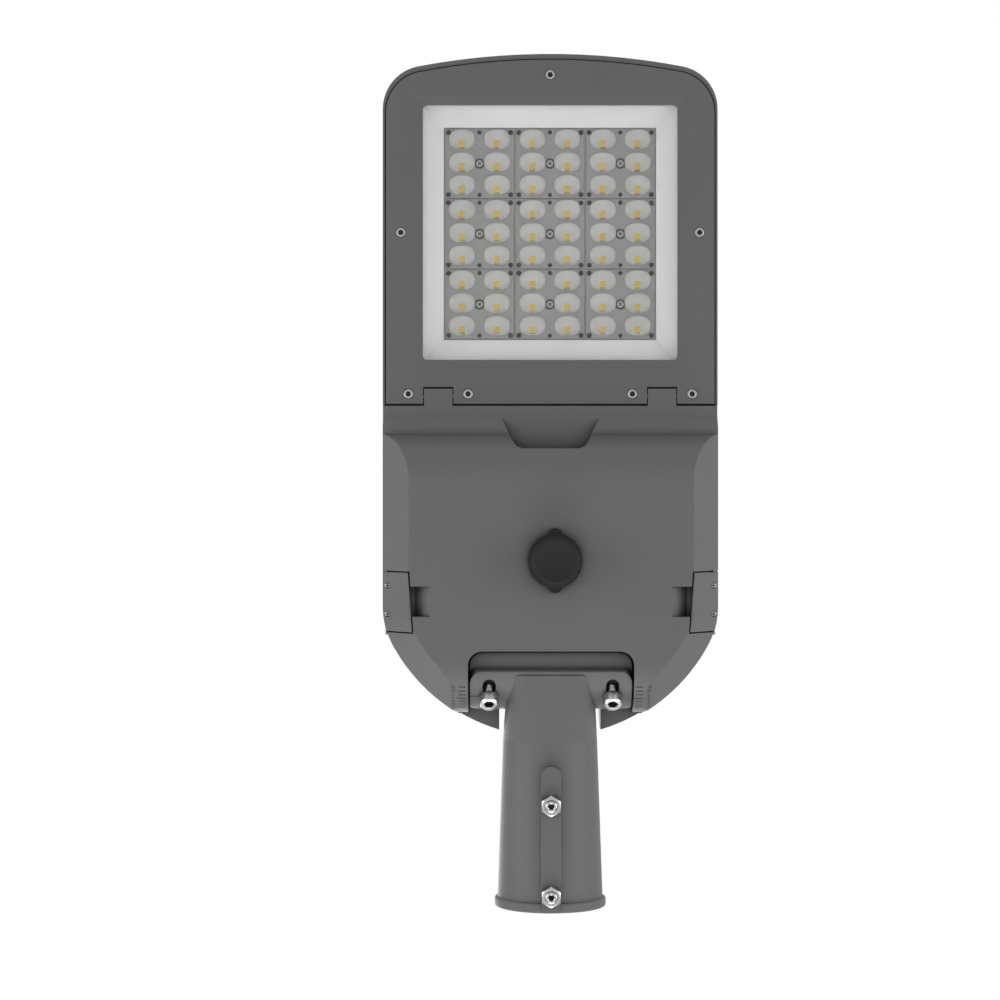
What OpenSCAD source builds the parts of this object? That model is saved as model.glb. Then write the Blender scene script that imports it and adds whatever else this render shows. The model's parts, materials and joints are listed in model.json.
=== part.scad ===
// LED street light with an adjustable spigot, seen with its light side down.
// The origin is the middle of the spigot's mouth, +Y runs into the light and +Z is up.

/* [Pole spigot] */
// Bore of the spigot, for a 60 mm pole end
bore_d = 62; // [58:1:64]
// How deep the pole end goes in
bore_len = 100; // [90:1:108]
// Wall of the spigot at its mouth
spigot_wall = 6.4; // [5.5:0.1:7.5]
// Taper of the spigot's outside, in degrees
spigot_taper = 2; // [1:0.1:2]
// Length of the tapered tube, mouth to neck
tube_len = 118; // [117:1:120]
// Depth of the bead round the mouth
bead_len = 7; // [4:1:10]
// Height of the bead above the tube
bead_h = 2; // [1:0.5:3]
// Width of the flat strip under the tube
strip_w = 14; // [13:1:20]
// Height of the strip above the tube at the mouth
strip_h = 1; // [0.8:0.1:1.8]
// Distance of the outer set screw from the mouth
screw_y_1 = 12; // [11:1:25]
// Distance of the inner set screw from the mouth
screw_y_2 = 75; // [60:1:85]
// Bore behind the pole end, for the supply cable
cable_way_d = 40; // [30:1:44]

/* [Tilt joint] */
// Distance of the tilt axis from the spigot's mouth
tilt_y = 177; // [176:1:182]
// Radius of the round seat that the flange clamps on
seat_r = 31; // [29:0.5:31]
// Thickness of the seat's wall
seat_wall = 4; // [3:0.5:5]
// Thickness of the spigot's curved flange
flange_t = 7; // [5:0.5:8]
// Width of the flange
flange_w = 113; // [108:1:113]
// Tilt either way from level, in degrees
tilt_max = 15; // [5:1:15]
// Angle of the clamp bolts below level, in degrees
bolt_angle = 45; // [43:1:47]
// Distance between the two clamp bolts
bolt_pitch = 86; // [84:1:88]
// Gap between parts that move against each other
run_gap = 0.3; // [0.2:0.05:0.4]

/* [Housing] */
// Width of the light
head_w = 236.6; // [234:0.2:242]
// Distance of the front edge from the spigot's mouth
head_front_y = 602.2; // [600:0.2:608]
// Radius of the front edge
front_r = 500; // [400:10:700]
// Radius of the two front corners
front_corner_r = 30.6; // [25:0.2:34]
// How much further than half the width the rounded back's radius reaches
back_bulge = 8.2; // [6.7:0.1:8.7]
// Radius of the two back corners
back_corner_r = 60; // [56:1:66]
// Height of the roof over the tilt axis level
roof_z = 62; // [60:1:66]
// Radius of the roof's shoulders
shoulder_r = 42; // [34:1:44]
// Wall of the housing
house_wall = 3; // [2.5:0.1:3.6]
// Thickness of a cooling fin
fin_t = 3; // [2:0.2:4]
// Distance between cooling fins
fin_pitch = 19; // [14:1:24]

/* [Gear door] */
// Depth of the door's face below the tilt axis level
door_z = 40; // [39:0.5:40]
// Wall of the door
door_wall = 2.5; // [2.2:0.1:3]
// Width of the bevel round the door
bevel_w = 19; // [17:0.5:20]
// Height of the bevel round the door
bevel_h = 27; // [26:0.5:28]
// Width of the notch that the flange shows through
notch_w = 115.4; // [115:0.2:117]
// Length of a latch
latch_len = 41.3; // [36:0.5:44]
// Thickness of a latch
latch_t = 3.6; // [3:0.2:4]
// How far a latch swings out, in degrees
latch_swing = 50; // [30:5:60]
// Diameter of the sensor socket
socket_d = 30; // [26:1:31]

/* [Light side] */
// Distance between lens plates
lens_pitch = 50; // [49:0.2:50]
// Width of a lens plate
lens_w = 49.6; // [48.4:0.2:49]
// Length of a lens dome across the light
dome_l = 18.8; // [17:0.2:19.4]
// Width of a lens dome
dome_w = 14.2; // [12:0.2:14.6]
// Height of a lens dome
dome_h = 4.2; // [3:0.2:4.4]
// Width of the frame's square opening
window_w = 180; // [178:1:184]
// Thickness of the glass frame
frame_t = 4; // [3.6:0.2:4.4]
// Thickness of the glass
glass_t = 3; // [2.4:0.2:3.2]
// Thickness of the circuit board
board_t = 1.6; // [1:0.2:2]

/* [Hidden] */
$fn = 64;
fine = 720; // facets of the long arcs
big = 900; // longer than the whole light
cut = 1; // how far a cut runs past the face it opens

// Levels, measured from the tilt axis
frame_z = -6; // face of the glass frame
door_top_z = -3; // rim of the door
house_z = -2; // rim of the housing over the door
rim_z = -5; // rim of the housing round the frame
cheek_z = 7; // underside of the housing beside the spigot
lens_z = 6; // face of the lens plates
lens_t = 2.5; // thickness of a lens plate
board_z = lens_z + lens_t;
base_z = board_z + board_t; // underside of the base plate
base_t = 4; // thickness of the base plate
chip_t = 0.8; // height of an LED chip
step_z = bevel_h - door_z; // where the door's bevel starts
frame_top_z = frame_z + frame_t;
shelf_z = 0; // face that the frame's gasket seals on

// Plan of the head
half_w = head_w / 2;
back_r = half_w + back_bulge;
rear_y = 118.5; // back edge of the housing
back_y = rear_y + back_r; // centre of the rounded back
split_y = 353.5; // front edge of the door
split_gap = 1.4; // gap between the door and the frame
roof_top_y = back_y + 5;
roof_back_z = roof_z - 6;
roof_front_z = roof_z - 34;
house_floor = 3; // thickness of the cheeks' floor

// Tilt joint
slide_r = seat_r + run_gap; // inside of the flange
flange_r = seat_r + flange_t;
door_tail_r = door_z; // round tail of the door, about the tilt axis
bolt_d = 8;
bolt_head_d = 13;
bolt_head_h = 8;
slot_w = bolt_d + 1;
flange_from = 14; // angles of the flange, from straight down towards the mouth
flange_to = 80;
flange_mid = (flange_from + flange_to) / 2;
neck_half_w = 30; // half width of the neck where it meets the flange
channel_half_w = 36; // half width of the channel for the spigot
notch_y = tilt_y + 5; // front wall of the door's notch
door_tail_y = tilt_y - sqrt(door_tail_r * door_tail_r - door_top_z * door_top_z);
notch_r = 10;
web_y = tilt_y - 5; // web between the seat and the roof
seat_half_w = flange_w / 2;

// Rims and seals
ledge_w = 12; // width of the ledge that carries the door gasket
ledge_t = 3;
seal_in = 9.6; // gasket's distance from the outline
seal_w = 2;
draft = 0.3; // the door's outline lies this far inside the housing's

// Hinge
hinge_x = 79;
hinge_y = split_y + 6.5;
hinge_z = -2.5;
hinge_pin_d = 2.5;
tab_w = 20;
tab_len = 12.1; // from the door's edge to the tab's end
tab_gap = 0.7;
ear_w = 4.5;
ear_gap = 0.6;

// Latch
latch_y = 215.8; // middle of a latch
latch_in = 19; // distance of the latch's inner edge from the outline
latch_gap = 1; // dark gap round a latch
latch_back_gap = 2.2; // room behind a latch, for its hook
latch_pin_d = 1.8;
latch_pin_x = half_w - draft - 2.2;
latch_pin_z = -5.6;
latch_top_z = -4;
hook_w = 22;
hook_t = 1.2;
hook_seat = 0.6; // the hook lies this far behind the latch where the outline starts to curve
hook_top_z = 0.3;
hook_room = 9.6; // reach of the swinging hook, from the outline
latch_depth = latch_t + latch_back_gap;
finger_in = 34.5; // inner edge of the finger recess, from the outline
finger_w = 21;
finger_y = 216.5;
finger_d = 9;
scoop_z = -7; // floor of the hand scoop
latch_pin_y0 = latch_y - latch_len / 2 - latch_gap - 2.2;
latch_pin_y1 = latch_y + latch_len / 2 + latch_gap + 2.2;
latch_screw_x = half_w - 3.8;
latch_screw_z = step_z - 2.2 * bevel_h / bevel_w; // where a screw head meets the bevel

// Sensor socket
socket_x = -2.7;
socket_y = back_y;
cap_ring_d = 38;
cap_disc_d = 31.6;
cap_ring_h = 8;
cap_h = 22;
cap_ear_r = 22.5;

// Glass frame and window
rim_side = 1.6; // housing rim beside the frame
rim_front = 3.5; // housing rim in front of the frame
frame_gap = 0.7;
frame_half_w = half_w - rim_side - frame_gap;
frame_front_y = head_front_y - rim_front - frame_gap;
frame_rear_y = split_y + split_gap;
window_y = 476; // middle of the window
window_bevel = 7;
window_r = 3;
lip_t = 2.6; // lip under the glass
glass_lap = 6; // how far the glass reaches past the window
glass_seal_t = 0.8;
glass_w = window_w + 2 * glass_lap;
glass_z = frame_z + lip_t + glass_seal_t;
optics_w = window_w + 18; // pocket over the glass
frame_seal_in = 0.5;
frame_seal_w = 2.8;
frame_screw_d = 4;
frame_head_d = 6.7;
frame_head_h = 1.8;
frame_screw_at = [
    [0, frame_front_y - 10.6],
    [half_w - 12.8, window_y], [12.8 - half_w, window_y],
    [half_w - 18.1, frame_rear_y + 7], [18.1 - half_w, frame_rear_y + 7],
    [58, frame_rear_y + 7], [-58, frame_rear_y + 7]
];
lens_field = 3 * lens_pitch;
led_dx = 12.35; // LEDs and domes, from the middle of a plate
dome_dy = [17.1, 0.8, -15.3];
led_dy = [14.9, -1.3, -17.4];
led_w = 3.5;
lens_screw_d = 3;
lens_head_d = 5.1;
lens_recess_d = 7.4;

// Gear compartment
tray_z = 14;
tray_t = 2;
tray_y0 = tilt_y + 20;
tray_y1 = split_y - 12;
tray_half_w = half_w - 25.3;
tray_screw_at = [for (x = [1, -1] * (tray_half_w - 7), y = [tray_y0 + 10, tray_y1 - 10]) [x, y]];
driver_l = 108;
driver_w = 62;
driver_h = 32;
driver_x = 49;
driver_y = 262;
surge_w = 36;
surge_l = 56;
surge_h = 24;
surge_x = 37 - tray_half_w;
surge_y = tray_y1 - 73.5;
terminal_w = 48;
terminal_l = 18;
terminal_h = 20;
terminal_y = tray_y0 + 19;
breather_y = tilt_y - 25;
breather_z = 42;
clamp_x = 0;
clamp_y = tray_y0 + 42;
lead_d = 8;
lead_z = 6.6;
reflector_z = glass_z + glass_t + 0.3;
earth_x = -60;
earth_y = split_y - 30;

// Shapes along an axis
module along_x(half, at = 0) translate([at - half, 0, 0]) rotate([90, 0, 90]) linear_extrude(2 * half) children();
module along_y(y0, y1) translate([0, y1, 0]) rotate([90, 0, 0]) linear_extrude(y1 - y0) children();
module upright(z0, z1) translate([0, 0, z0]) linear_extrude(z1 - z0) children();
module rod_x(d, x0, x1) translate([x0, 0, 0]) rotate([0, 90, 0]) cylinder(d = d, h = x1 - x0);
module rod_y(d, y0, y1) translate([0, y0, 0]) rotate([-90, 0, 0]) cylinder(d = d, h = y1 - y0);
module rod_z(d, z0, z1) translate([0, 0, z0]) cylinder(d = d, h = z1 - z0);
module block(x0, x1, y0, y1, z0, z1) translate([x0, y0, z0]) cube([x1 - x0, y1 - y0, z1 - z0]);
module both_sides() { children(); mirror([1, 0, 0]) children(); }
module band(y0, y1) translate([-big, y0]) square([2 * big, y1 - y0]);

// Rectangle with round corners, made of exact pieces
module soft_rect(w, l, r) {
    square([w - 2 * r, l], center = true);
    square([w, l - 2 * r], center = true);
    for (x = [-1, 1], y = [-1, 1]) translate([x * (w / 2 - r), y * (l / 2 - r)]) circle(r);
}

// Wedge with its tip at the origin, between two angles
module wedge(a0, a1, r) polygon([
    [0, 0], [r * cos(a0), r * sin(a0)],
    [r * cos((a0 + a1) / 2), r * sin((a0 + a1) / 2)] * 1.6, [r * cos(a1), r * sin(a1)]
]);

// Plan of the head: straight sides, arcs at the front and back and four round corners
module head_plan(hw, front_y, front_arc, corner, back_arc, back_corner) {
    arc_y = front_y - front_arc;
    fx = hw - corner;
    fy = arc_y + sqrt(pow(front_arc - corner, 2) - fx * fx);
    bx = hw - back_corner;
    by = back_y - sqrt(pow(back_arc - back_corner, 2) - bx * bx);
    fa = atan2(fy - arc_y, fx);
    ba = atan2(by - back_y, bx);
    translate([-hw, by]) square([2 * hw, fy - by]);
    intersection() {
        translate([0, arc_y]) circle(front_arc, $fn = fine);
        translate([0, arc_y]) wedge(fa, 180 - fa, 1.2 * front_arc);
        band(fy, front_y + cut);
    }
    intersection() {
        translate([0, back_y]) circle(back_arc, $fn = fine);
        translate([0, back_y]) wedge(180 - ba, 360 + ba, 2 * back_arc);
    }
    for (s = [-1, 1]) {
        translate([s * fx, fy]) circle(corner);
        translate([s * bx, by]) circle(back_corner, $fn = 2 * $fn);
    }
}

module outline(o) head_plan(half_w - o, head_front_y - o, front_r - o, front_corner_r - o, back_r - o, back_corner_r - o);
module frame_plan(o) intersection() {
    head_plan(frame_half_w - o, frame_front_y - o, front_r - rim_front - o, front_corner_r - rim_side - o, back_r, back_corner_r);
    band(frame_rear_y + o, big);
}
module notch_plan(g) translate([0, (notch_y + g) / 2]) soft_rect(notch_w + 2 * g, notch_y + g, notch_r + g);
module window_plan(g) translate([0, window_y]) soft_rect(window_w + 2 * g, window_w + 2 * g, window_r + g);

// Square funnel between two levels, wide at one and narrow at the other
module funnel(w0, z0, w1, z1, y = window_y) intersection() {
    along_y(y - big / 4, y + big / 4) polygon([[-w0 / 2, z0], [w0 / 2, z0], [w1 / 2, z1], [-w1 / 2, z1]]);
    along_x(big / 4) polygon([[y - w0 / 2, z0], [y + w0 / 2, z0], [y + w1 / 2, z1], [y - w1 / 2, z1]]);
}

// Radial direction at an angle from straight down towards the mouth, about the tilt axis
module radial(angle) translate([0, tilt_y, 0]) rotate([180 - angle, 0, 0]) children();

// Side view between two angles of the tilt joint
module tilt_sector(a0, a1, r) translate([tilt_y, 0]) wedge(270 - a1, 270 - a0, r);

// Curved flange with rounded corners, between two radii
module flange_shell(r0, r1) intersection() {
    along_x(seat_half_w) difference() {
        intersection() {
            translate([tilt_y, 0]) circle(r1, $fn = 180);
            tilt_sector(flange_from, flange_to, 2 * r1);
        }
        translate([tilt_y, 0]) circle(r0, $fn = 180);
    }
    radial(flange_mid) linear_extrude(2 * r1)
        soft_rect(flange_w, 2 * flange_r * sin((flange_to - flange_from) / 2) - 0.6, 8);
}

module flange_slots() for (x = [-1, 1] * bolt_pitch / 2) translate([x, 0, 0]) radial(bolt_angle)
    translate([0, 0, seat_r - 4]) linear_extrude(flange_t + 8) {
        reach = flange_r * sin(tilt_max);
        square([slot_w, 2 * reach], center = true);
        for (y = [-reach, reach]) translate([0, y]) circle(d = slot_w);
    }

module spigot() color("#5e5e5e") {
    r0 = bore_d / 2 + spigot_wall;
    r1 = r0 - tube_len * tan(spigot_taper);
    difference() {
        union() {
            rotate([-90, 0, 0]) cylinder(r1 = r0, r2 = r1, h = tube_len, $fn = 96);
            rotate([-90, 0, 0]) rotate_extrude($fn = 96) {
                square([r0 + bead_h - 2, bead_len]);
                translate([0, 2]) square([r0 + bead_h, bead_len - 4]);
                for (y = [2, bead_len - 2]) translate([r0 + bead_h - 2, y]) circle(2, $fn = 24);
            }
            hull() {
                translate([0, tube_len - 0.5, 0]) rotate([-90, 0, 0]) cylinder(r = r1, h = 0.5, $fn = 96);
                along_y(tilt_y - 13, tilt_y - 12) translate([0, -8.5]) soft_rect(2 * neck_half_w, 57, 10);
            }
            flange_shell(seat_r - cut, flange_r);
            strip_z = -(r0 + strip_h);
            block(-strip_w / 2, strip_w / 2, bead_len + 1.5, screw_y_2 + 20, strip_z, -bore_d / 2 - 3);
            translate([0, screw_y_2 + 20, strip_z]) cylinder(d = strip_w, h = spigot_wall - 1);
            translate([0, bead_len + 1.5, strip_z]) cylinder(d = strip_w, h = spigot_wall - 1);
        }
        block(-strip_w / 2 - 0.5, strip_w / 2 + 0.5, -cut, bead_len + 2, -2 * r0, -r0 - strip_h);
        rod_y(bore_d, -cut, bore_len);
        rod_y(cable_way_d, bore_len - cut, tilt_y);
        translate([0, tilt_y, 0]) rod_x(2 * slide_r, -big / 4, big / 4, $fn = 180);
        flange_slots();
        for (y = [screw_y_1, screw_y_2]) translate([0, y, 0]) rod_z(8, -2 * r0, 0);
        pointer();
    }
}

// Fine groove on the flange that points at the door's tilt scale
module pointer() radial(bolt_angle) translate([seat_half_w - 9, 0, flange_r - 0.4]) linear_extrude(2)
    polygon([[-0.6, -2.8], [0.1, -3.4], [3, -0.5], [10, -0.5], [10, 0.5], [2.8, 0.5]]);

module set_screws() color("#c4c4c4") for (y = [screw_y_1, screw_y_2]) translate([0, y, 0]) difference() {
    z1 = -bore_d / 2 - 0.3;
    rod_z(8, z1 - 15.5, z1);
    translate([0, 0, z1 - 16.5]) cylinder(d = 4.6, h = 5, $fn = 6);
}

module lock_nuts() color("#c4c4c4") for (y = [screw_y_1, screw_y_2]) translate([0, y, 0]) {
    z0 = -(bore_d / 2 + spigot_wall + strip_h);
    difference() {
        translate([0, 0, z0 - 6.3]) rotate([0, 0, 30]) cylinder(d = 13 / cos(30), h = 6.3, $fn = 6);
        rod_z(8, z0 - 8, z0 + 1);
    }
}

// Roof of the head in side view: one arc to the back and a flatter one to the front
function sag_r(run, drop) = (run * run + drop * drop) / (2 * drop);
module roof_side(o) {
    back_arc = sag_r(roof_top_y - rear_y, roof_z - roof_back_z);
    front_arc = sag_r(head_front_y - roof_top_y, roof_z - roof_front_z);
    intersection() {
        translate([roof_top_y, roof_z - back_arc]) circle(back_arc - o, $fn = fine);
        translate([rear_y - 20, -20]) square([roof_top_y - rear_y + 20, roof_z + 30]);
    }
    intersection() {
        translate([roof_top_y, roof_z - front_arc]) circle(front_arc - o, $fn = fine);
        translate([roof_top_y, -20]) square([head_front_y, roof_z + 30]);
    }
}

// Half section of a shoulder, from the middle out to a half width
module shoulder_half(hw, top, r) {
    translate([0, -20]) square([hw, 20 + top - r]);
    translate([0, -20]) square([hw - r, 20 + top]);
    translate([hw - r, top - r]) circle(r, $fn = 128);
}

// Outside of the head, or a skin set in by o
module head_form(o, z0) intersection() {
    upright(z0, roof_z + cut) outline(o);
    along_x(half_w) roof_side(o);
    along_y(0, head_front_y + cut) both_sides() shoulder_half(half_w - o, roof_z - o, shoulder_r - o);
    union() {
        translate([0, back_y, 0]) rotate_extrude($fn = 192) intersection() {
            shoulder_half(back_r - o, roof_z - o, shoulder_r - o);
            translate([0, -20]) square([half_w + back_r, roof_z + 30]);
        }
        block(-half_w, half_w, back_y, head_front_y + cut, -20, roof_z + cut);
    }
}

// Plan of the gear door, set in by o
module door_plan(o) difference() {
    intersection() {
        outline(o + draft);
        band(door_tail_y + o, split_y - o);
    }
    notch_plan(o);
}

// Seat drum in side view: round below and behind, with a flat front wall
module drum_side(o) translate([tilt_y, 0]) {
    intersection() {
        circle(seat_r - o, $fn = 180);
        translate([-seat_r, -seat_r]) square([seat_r + notch_y - tilt_y - 1 - o, 2 * seat_r]);
    }
}

module hinge_stations() for (s = [-1, 1]) translate([s * hinge_x, 0, 0]) children();

// What stays inside the shell of the gear compartment
module gear_space() {
    intersection() {
        head_form(house_wall, house_z - cut);
        union() {
            upright(house_z - cut, house_z + ledge_t) door_plan(ledge_w);
            upright(house_z + ledge_t - cut, cheek_z + house_floor) door_plan(house_wall);
            difference() {
                block(-half_w, half_w, 0, split_y - house_wall, cheek_z + house_floor - cut, roof_z);
                channel(house_wall);
                block(-half_w, half_w, 0, notch_y, 0, cheek_z + house_floor);
            }
        }
    }
    along_x(seat_half_w - seat_wall) intersection() {
        drum_side(seat_wall);
        translate([tilt_y - seat_r, -seat_r]) square([big, seat_r + cheek_z + house_floor]);
    }
    along_x(channel_half_w) drum_side(seat_wall);
}

// Channel that the spigot's neck swings in, grown by o
module channel(o) {
    along_x(channel_half_w + o) intersection() {
        roof_side(house_wall);
        square([web_y + o, roof_z]);
    }
    block(-channel_half_w - o, channel_half_w + o, 0, web_y + o, -big / 4, cut);
}

module housing() color("#6a6a6a") difference() {
    union() {
        difference() {
            head_form(0, rim_z);
            gear_space();
            difference() {
                channel(0);
                along_x(seat_half_w) drum_side(0);
            }
            block(-notch_w / 2, notch_w / 2, 0, web_y, -big / 4, cheek_z);
            block(-half_w - cut, half_w + cut, 0, frame_rear_y - frame_gap, -big / 4, house_z);
            upright(-big / 4, cheek_z) band(0, door_tail_y - latch_gap);
            fin_grooves();
        }
        seat_drum();
        hinge_ears();
        latch_bosses();
        screw_bosses();
    }
    light_pocket();
    house_holes();
}

module seat_drum() {
    difference() {
        seat_drum_shell();
        upright(-big / 4, house_z) difference() {
            band(0, big);
            notch_plan(-1.2);
        }
    }
}

module seat_drum_shell() {
    difference() {
        along_x(seat_half_w) drum_side(0);
        along_x(seat_half_w - seat_wall) drum_side(seat_wall);
        block(-half_w, half_w, tilt_y - cut, big, cheek_z + house_floor, seat_r + cut);
        for (s = [-1, 1]) translate([s * (channel_half_w + house_wall + big / 2), 0, 0])
            block(-big / 2, big / 2, 0, big, cheek_z + house_floor, big / 4);
    }
    intersection() {
        for (x = [-1, 1] * bolt_pitch / 2) translate([x, 0, 0]) radial(bolt_angle)
            cylinder(d = 16, h = seat_r - seat_wall / 2);
        along_x(seat_half_w - seat_wall / 2) drum_side(seat_wall / 2);
    }
    intersection() {
        block(-channel_half_w - house_wall, channel_half_w + house_wall, web_y, web_y + 4, seat_r - seat_wall, roof_z);
        head_form(0, 0);
    }
}

module fin_grooves() {
    w = fin_pitch - fin_t;
    n = ceil(half_w / fin_pitch);
    for (i = [-n : n - 1]) translate([(i + 0.5) * fin_pitch, 0, 0]) {
        block(-w / 2, w / 2, frame_rear_y + 20, big, base_z + base_t, big / 4);
        translate([0, frame_rear_y + 20, base_z + base_t]) cylinder(d = w, h = big / 4);
    }
}

module hinge_ears() hinge_stations() for (s = [-1, 1])
    along_x(ear_w / 2, s * (tab_w / 2 + ear_gap + ear_w / 2)) {
        translate([hinge_y - 3.2, hinge_z]) square([6.4, shelf_z + 2 - hinge_z]);
        translate([hinge_y, hinge_z]) circle(d = hinge_pin_d + 1.8, $fn = 32);
    }

module latch_pocket(g) both_sides()
    block(half_w - hook_room - g, half_w - house_wall + 0.2, latch_y - hook_w / 2 - 0.6 - g, latch_y + hook_w / 2 + 0.6 + g,
        house_z - cut, hook_top_z + 0.6 + g);

module latch_bosses() intersection() {
    latch_pocket(2);
    head_form(0.5, house_z);
}

module screw_bosses() {
    for (p = tray_screw_at) intersection() {
        translate([p.x, p.y, 0]) rod_z(9, tray_z + tray_t, roof_z);
        head_form(1, 0);
    }
}

// Pocket for the glass frame, and the one over it for the optics
module light_pocket() {
    upright(-big / 4, shelf_z) difference() {
        frame_plan(-frame_gap);
        hinge_ear_plan();
    }
    upright(shelf_z - cut, base_z) translate([0, window_y]) soft_rect(optics_w, optics_w, 4);
    hinge_stations() block(-tab_w / 2 - ear_gap, tab_w / 2 + ear_gap, split_y + 1.3, split_y + tab_len + 1.8, -big / 4, 5.2);
}

module hinge_ear_plan() hinge_stations() for (s = [-1, 1])
    translate([s * (tab_w / 2 + ear_gap + ear_w / 2), hinge_y]) square([ear_w, 6.4], center = true);

module house_holes() {
    latch_pocket(0);
    hinge_stations() translate([0, hinge_y, hinge_z]) rod_x(hinge_pin_d + 0.12, -tab_w, tab_w, $fn = 32);
    for (p = frame_screw_at) translate([p.x, p.y, 0]) rod_z(frame_screw_d, shelf_z - cut, shelf_z + 8.5);
    for (x = [-1, 1] * bolt_pitch / 2) translate([x, 0, 0]) radial(bolt_angle)
        translate([0, 0, seat_r - 18]) cylinder(d = bolt_d, h = 20);
    for (p = lens_centres()) translate([p.x, p.y, 0]) rod_z(lens_screw_d, base_z - cut, base_z + 3);
    for (p = tray_screw_at) translate([p.x, p.y, 0]) rod_z(4, tray_z, tray_z + 12);
    rod_y_at(lead_d, 0, split_y - house_wall - cut, window_y - optics_w / 2 + cut, lead_z);
    radial(90) cylinder(d = 24, h = seat_r + 2);
    translate([0, breather_y, breather_z]) rod_x(8, channel_half_w - cut, channel_half_w + house_wall + cut);
}
module rod_y_at(d, x, y0, y1, z) translate([x, 0, z]) rod_y(d, y0, y1);

function lens_centres() = [for (j = [-1 : 1], i = [-1 : 1]) [i * lens_pitch, window_y + j * lens_pitch]];

// Door in side view: round tail, flat face, rounded rise, plateau and step to the front band
rise_y = split_y - 53; // where the rise leaves the face
rise_len = 33;
rise_r = (rise_len * rise_len + bevel_h * bevel_h) / (2 * bevel_h);
module door_side(o) intersection() {
    union() {
        translate([tilt_y, 0]) circle(door_tail_r - o, $fn = 180);
        translate([tilt_y, o - door_z]) square([rise_y - tilt_y, door_z]);
        translate([rise_y, rise_r - door_z]) circle(rise_r - o, $fn = 180);
        polygon([
            [tilt_y, 0], [split_y - o, 0], [split_y - o, frame_z + o], [split_y - 7.5 - o / 2, frame_z + o],
            [split_y - 15.5 - o / 2, step_z + o], [rise_y, step_z + o]
        ]);
    }
    translate([0, -big / 2]) square([big, big / 2 + door_top_z + o]);
}

// Outside of the door, or a skin set in by o; slanting planes and a cone make its bevel
module door_form(o) intersection() {
    slope = bevel_w / bevel_h;
    low = half_w - draft - bevel_w - o * (sqrt(1 + slope * slope) - slope) - cut * slope;
    rise = door_z + cut;
    upright(-door_z - cut, 0) outline(o + draft);
    along_x(half_w + cut) door_side(o);
    along_y(0, split_y + cut) polygon([
        [-low, o - door_z - cut], [low, o - door_z - cut], [low + rise * slope, rise - door_z + o - cut],
        [-low - rise * slope, rise - door_z + o - cut]
    ]);
    union() {
        translate([0, back_y, o - door_z - cut]) cylinder(
            r1 = low - half_w + back_r, r2 = low - half_w + back_r + rise * slope, h = rise, $fn = 192);
        block(-half_w - cut, half_w + cut, back_y, split_y + cut, -door_z - 2 * cut, cut);
    }
}

// Block that a latch fills in plan, grown by g; its inner edge slants
module latch_block(g) upright(-door_z - cut, cut) {
    y0 = latch_y - latch_len / 2 - g;
    y1 = latch_y + latch_len / 2 + g;
    x = half_w - latch_in - g;
    polygon([[x - 2.8, y0], [half_w + cut, y0], [half_w + cut, y1], [x, y1]]);
}

// Recess that a latch lies in, with the room behind it
module latch_recess() difference() {
    latch_block(latch_gap);
    door_form(latch_depth);
}

// Scooped recess for a fingertip, deepest beside the latch
module finger_scoop(g) {
    x1 = half_w - latch_in + 0.5;
    x0 = half_w - finger_in - g;
    top = finger_d - door_z + g;
    along_y(finger_y - finger_w / 2 - g, finger_y + finger_w / 2 + g)
        polygon([[x1, -door_z - cut], [x1, top], [x1 - 5, top], [x0, -door_z + 1], [x0, -door_z - cut]]);
}

// Hand scoop in the middle of the door's front rise
module front_scoop(g) upright(-door_z - cut, scoop_z + g) {
    y0 = split_y - 30.5 - g;
    y1 = split_y - 6;
    polygon([
        [-20 - g, y0], [20 + g, y0], [24.3 + g, y0 + 1.8], [27 + g, y0 + 6], [35.6 + g, y1],
        [-35.6 - g, y1], [-27 - g, y0 + 6], [-24.3 - g, y0 + 1.8]
    ]);
}

// Room in the door's ledge that a latch hook swings through
module hook_pocket(g) block(half_w - hook_room - g, half_w - draft - latch_t - 0.2, latch_y - hook_w / 2 - 0.6 - g,
    latch_y + hook_w / 2 + 0.6 + g, door_top_z - ledge_t - 1.6 - g, 0);

module door() color("#646464") difference() {
    union() {
        difference() {
            door_form(0);
            door_cavity();
        }
        intersection() {
            door_form(0);
            union() {
                upright(door_top_z - ledge_t, 0) difference() {
                    door_plan(-cut);
                    door_plan(ledge_w);
                }
                both_sides() {
                    difference() {
                        latch_block(latch_gap + door_wall);
                        door_form(latch_depth + door_wall);
                    }
                    finger_scoop(door_wall);
                    hook_pocket(2);
                }
                front_scoop(door_wall);
            }
        }
        hinge_tabs();
    }
    upright(-big / 4, cut) notch_plan(0);
    both_sides() {
        latch_recess();
        finger_scoop(0);
        hook_pocket(0);
        translate([latch_pin_x, 0, latch_pin_z]) rod_y(latch_pin_d, latch_pin_y0 - 0.1, latch_pin_y1 + 0.1, $fn = 32);
    }
    front_scoop(0);
    translate([socket_x, socket_y, 0]) rod_z(socket_d, -door_z - cut, 0);
    hinge_stations() translate([0, hinge_y, hinge_z]) rod_x(hinge_pin_d, -tab_w, tab_w, $fn = 32);
    tilt_scale();
}

module door_cavity() difference() {
    door_form(door_wall);
    upright(-big / 4, cut) notch_plan(door_wall);
}

// Tabs that carry the door on its pins
module hinge_tabs() hinge_stations() along_x(tab_w / 2) {
    translate([split_y - 3, frame_z]) square([tab_len + 3, 2.6]);
    translate([hinge_y - 4, frame_z]) square([4, 6.3]);
    translate([hinge_y, hinge_z]) circle(d = hinge_pin_d + 3.1, $fn = 48);
}

// Tick marks on the round tail beside the notch, one for each 5 degrees of tilt
module tilt_scale() for (s = [-1, 1], i = [-3 : 3]) radial(bolt_angle + 5 * i)
    translate([s * (notch_w / 2 + 4) - 2.5, -0.35, door_tail_r - 0.4]) cube([i == 0 ? 6.5 : 5, 0.7, 2]);

module door_gasket() color("#222222") upright(door_top_z, house_z) difference() {
    door_plan(seal_in);
    door_plan(seal_in + seal_w);
}

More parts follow.
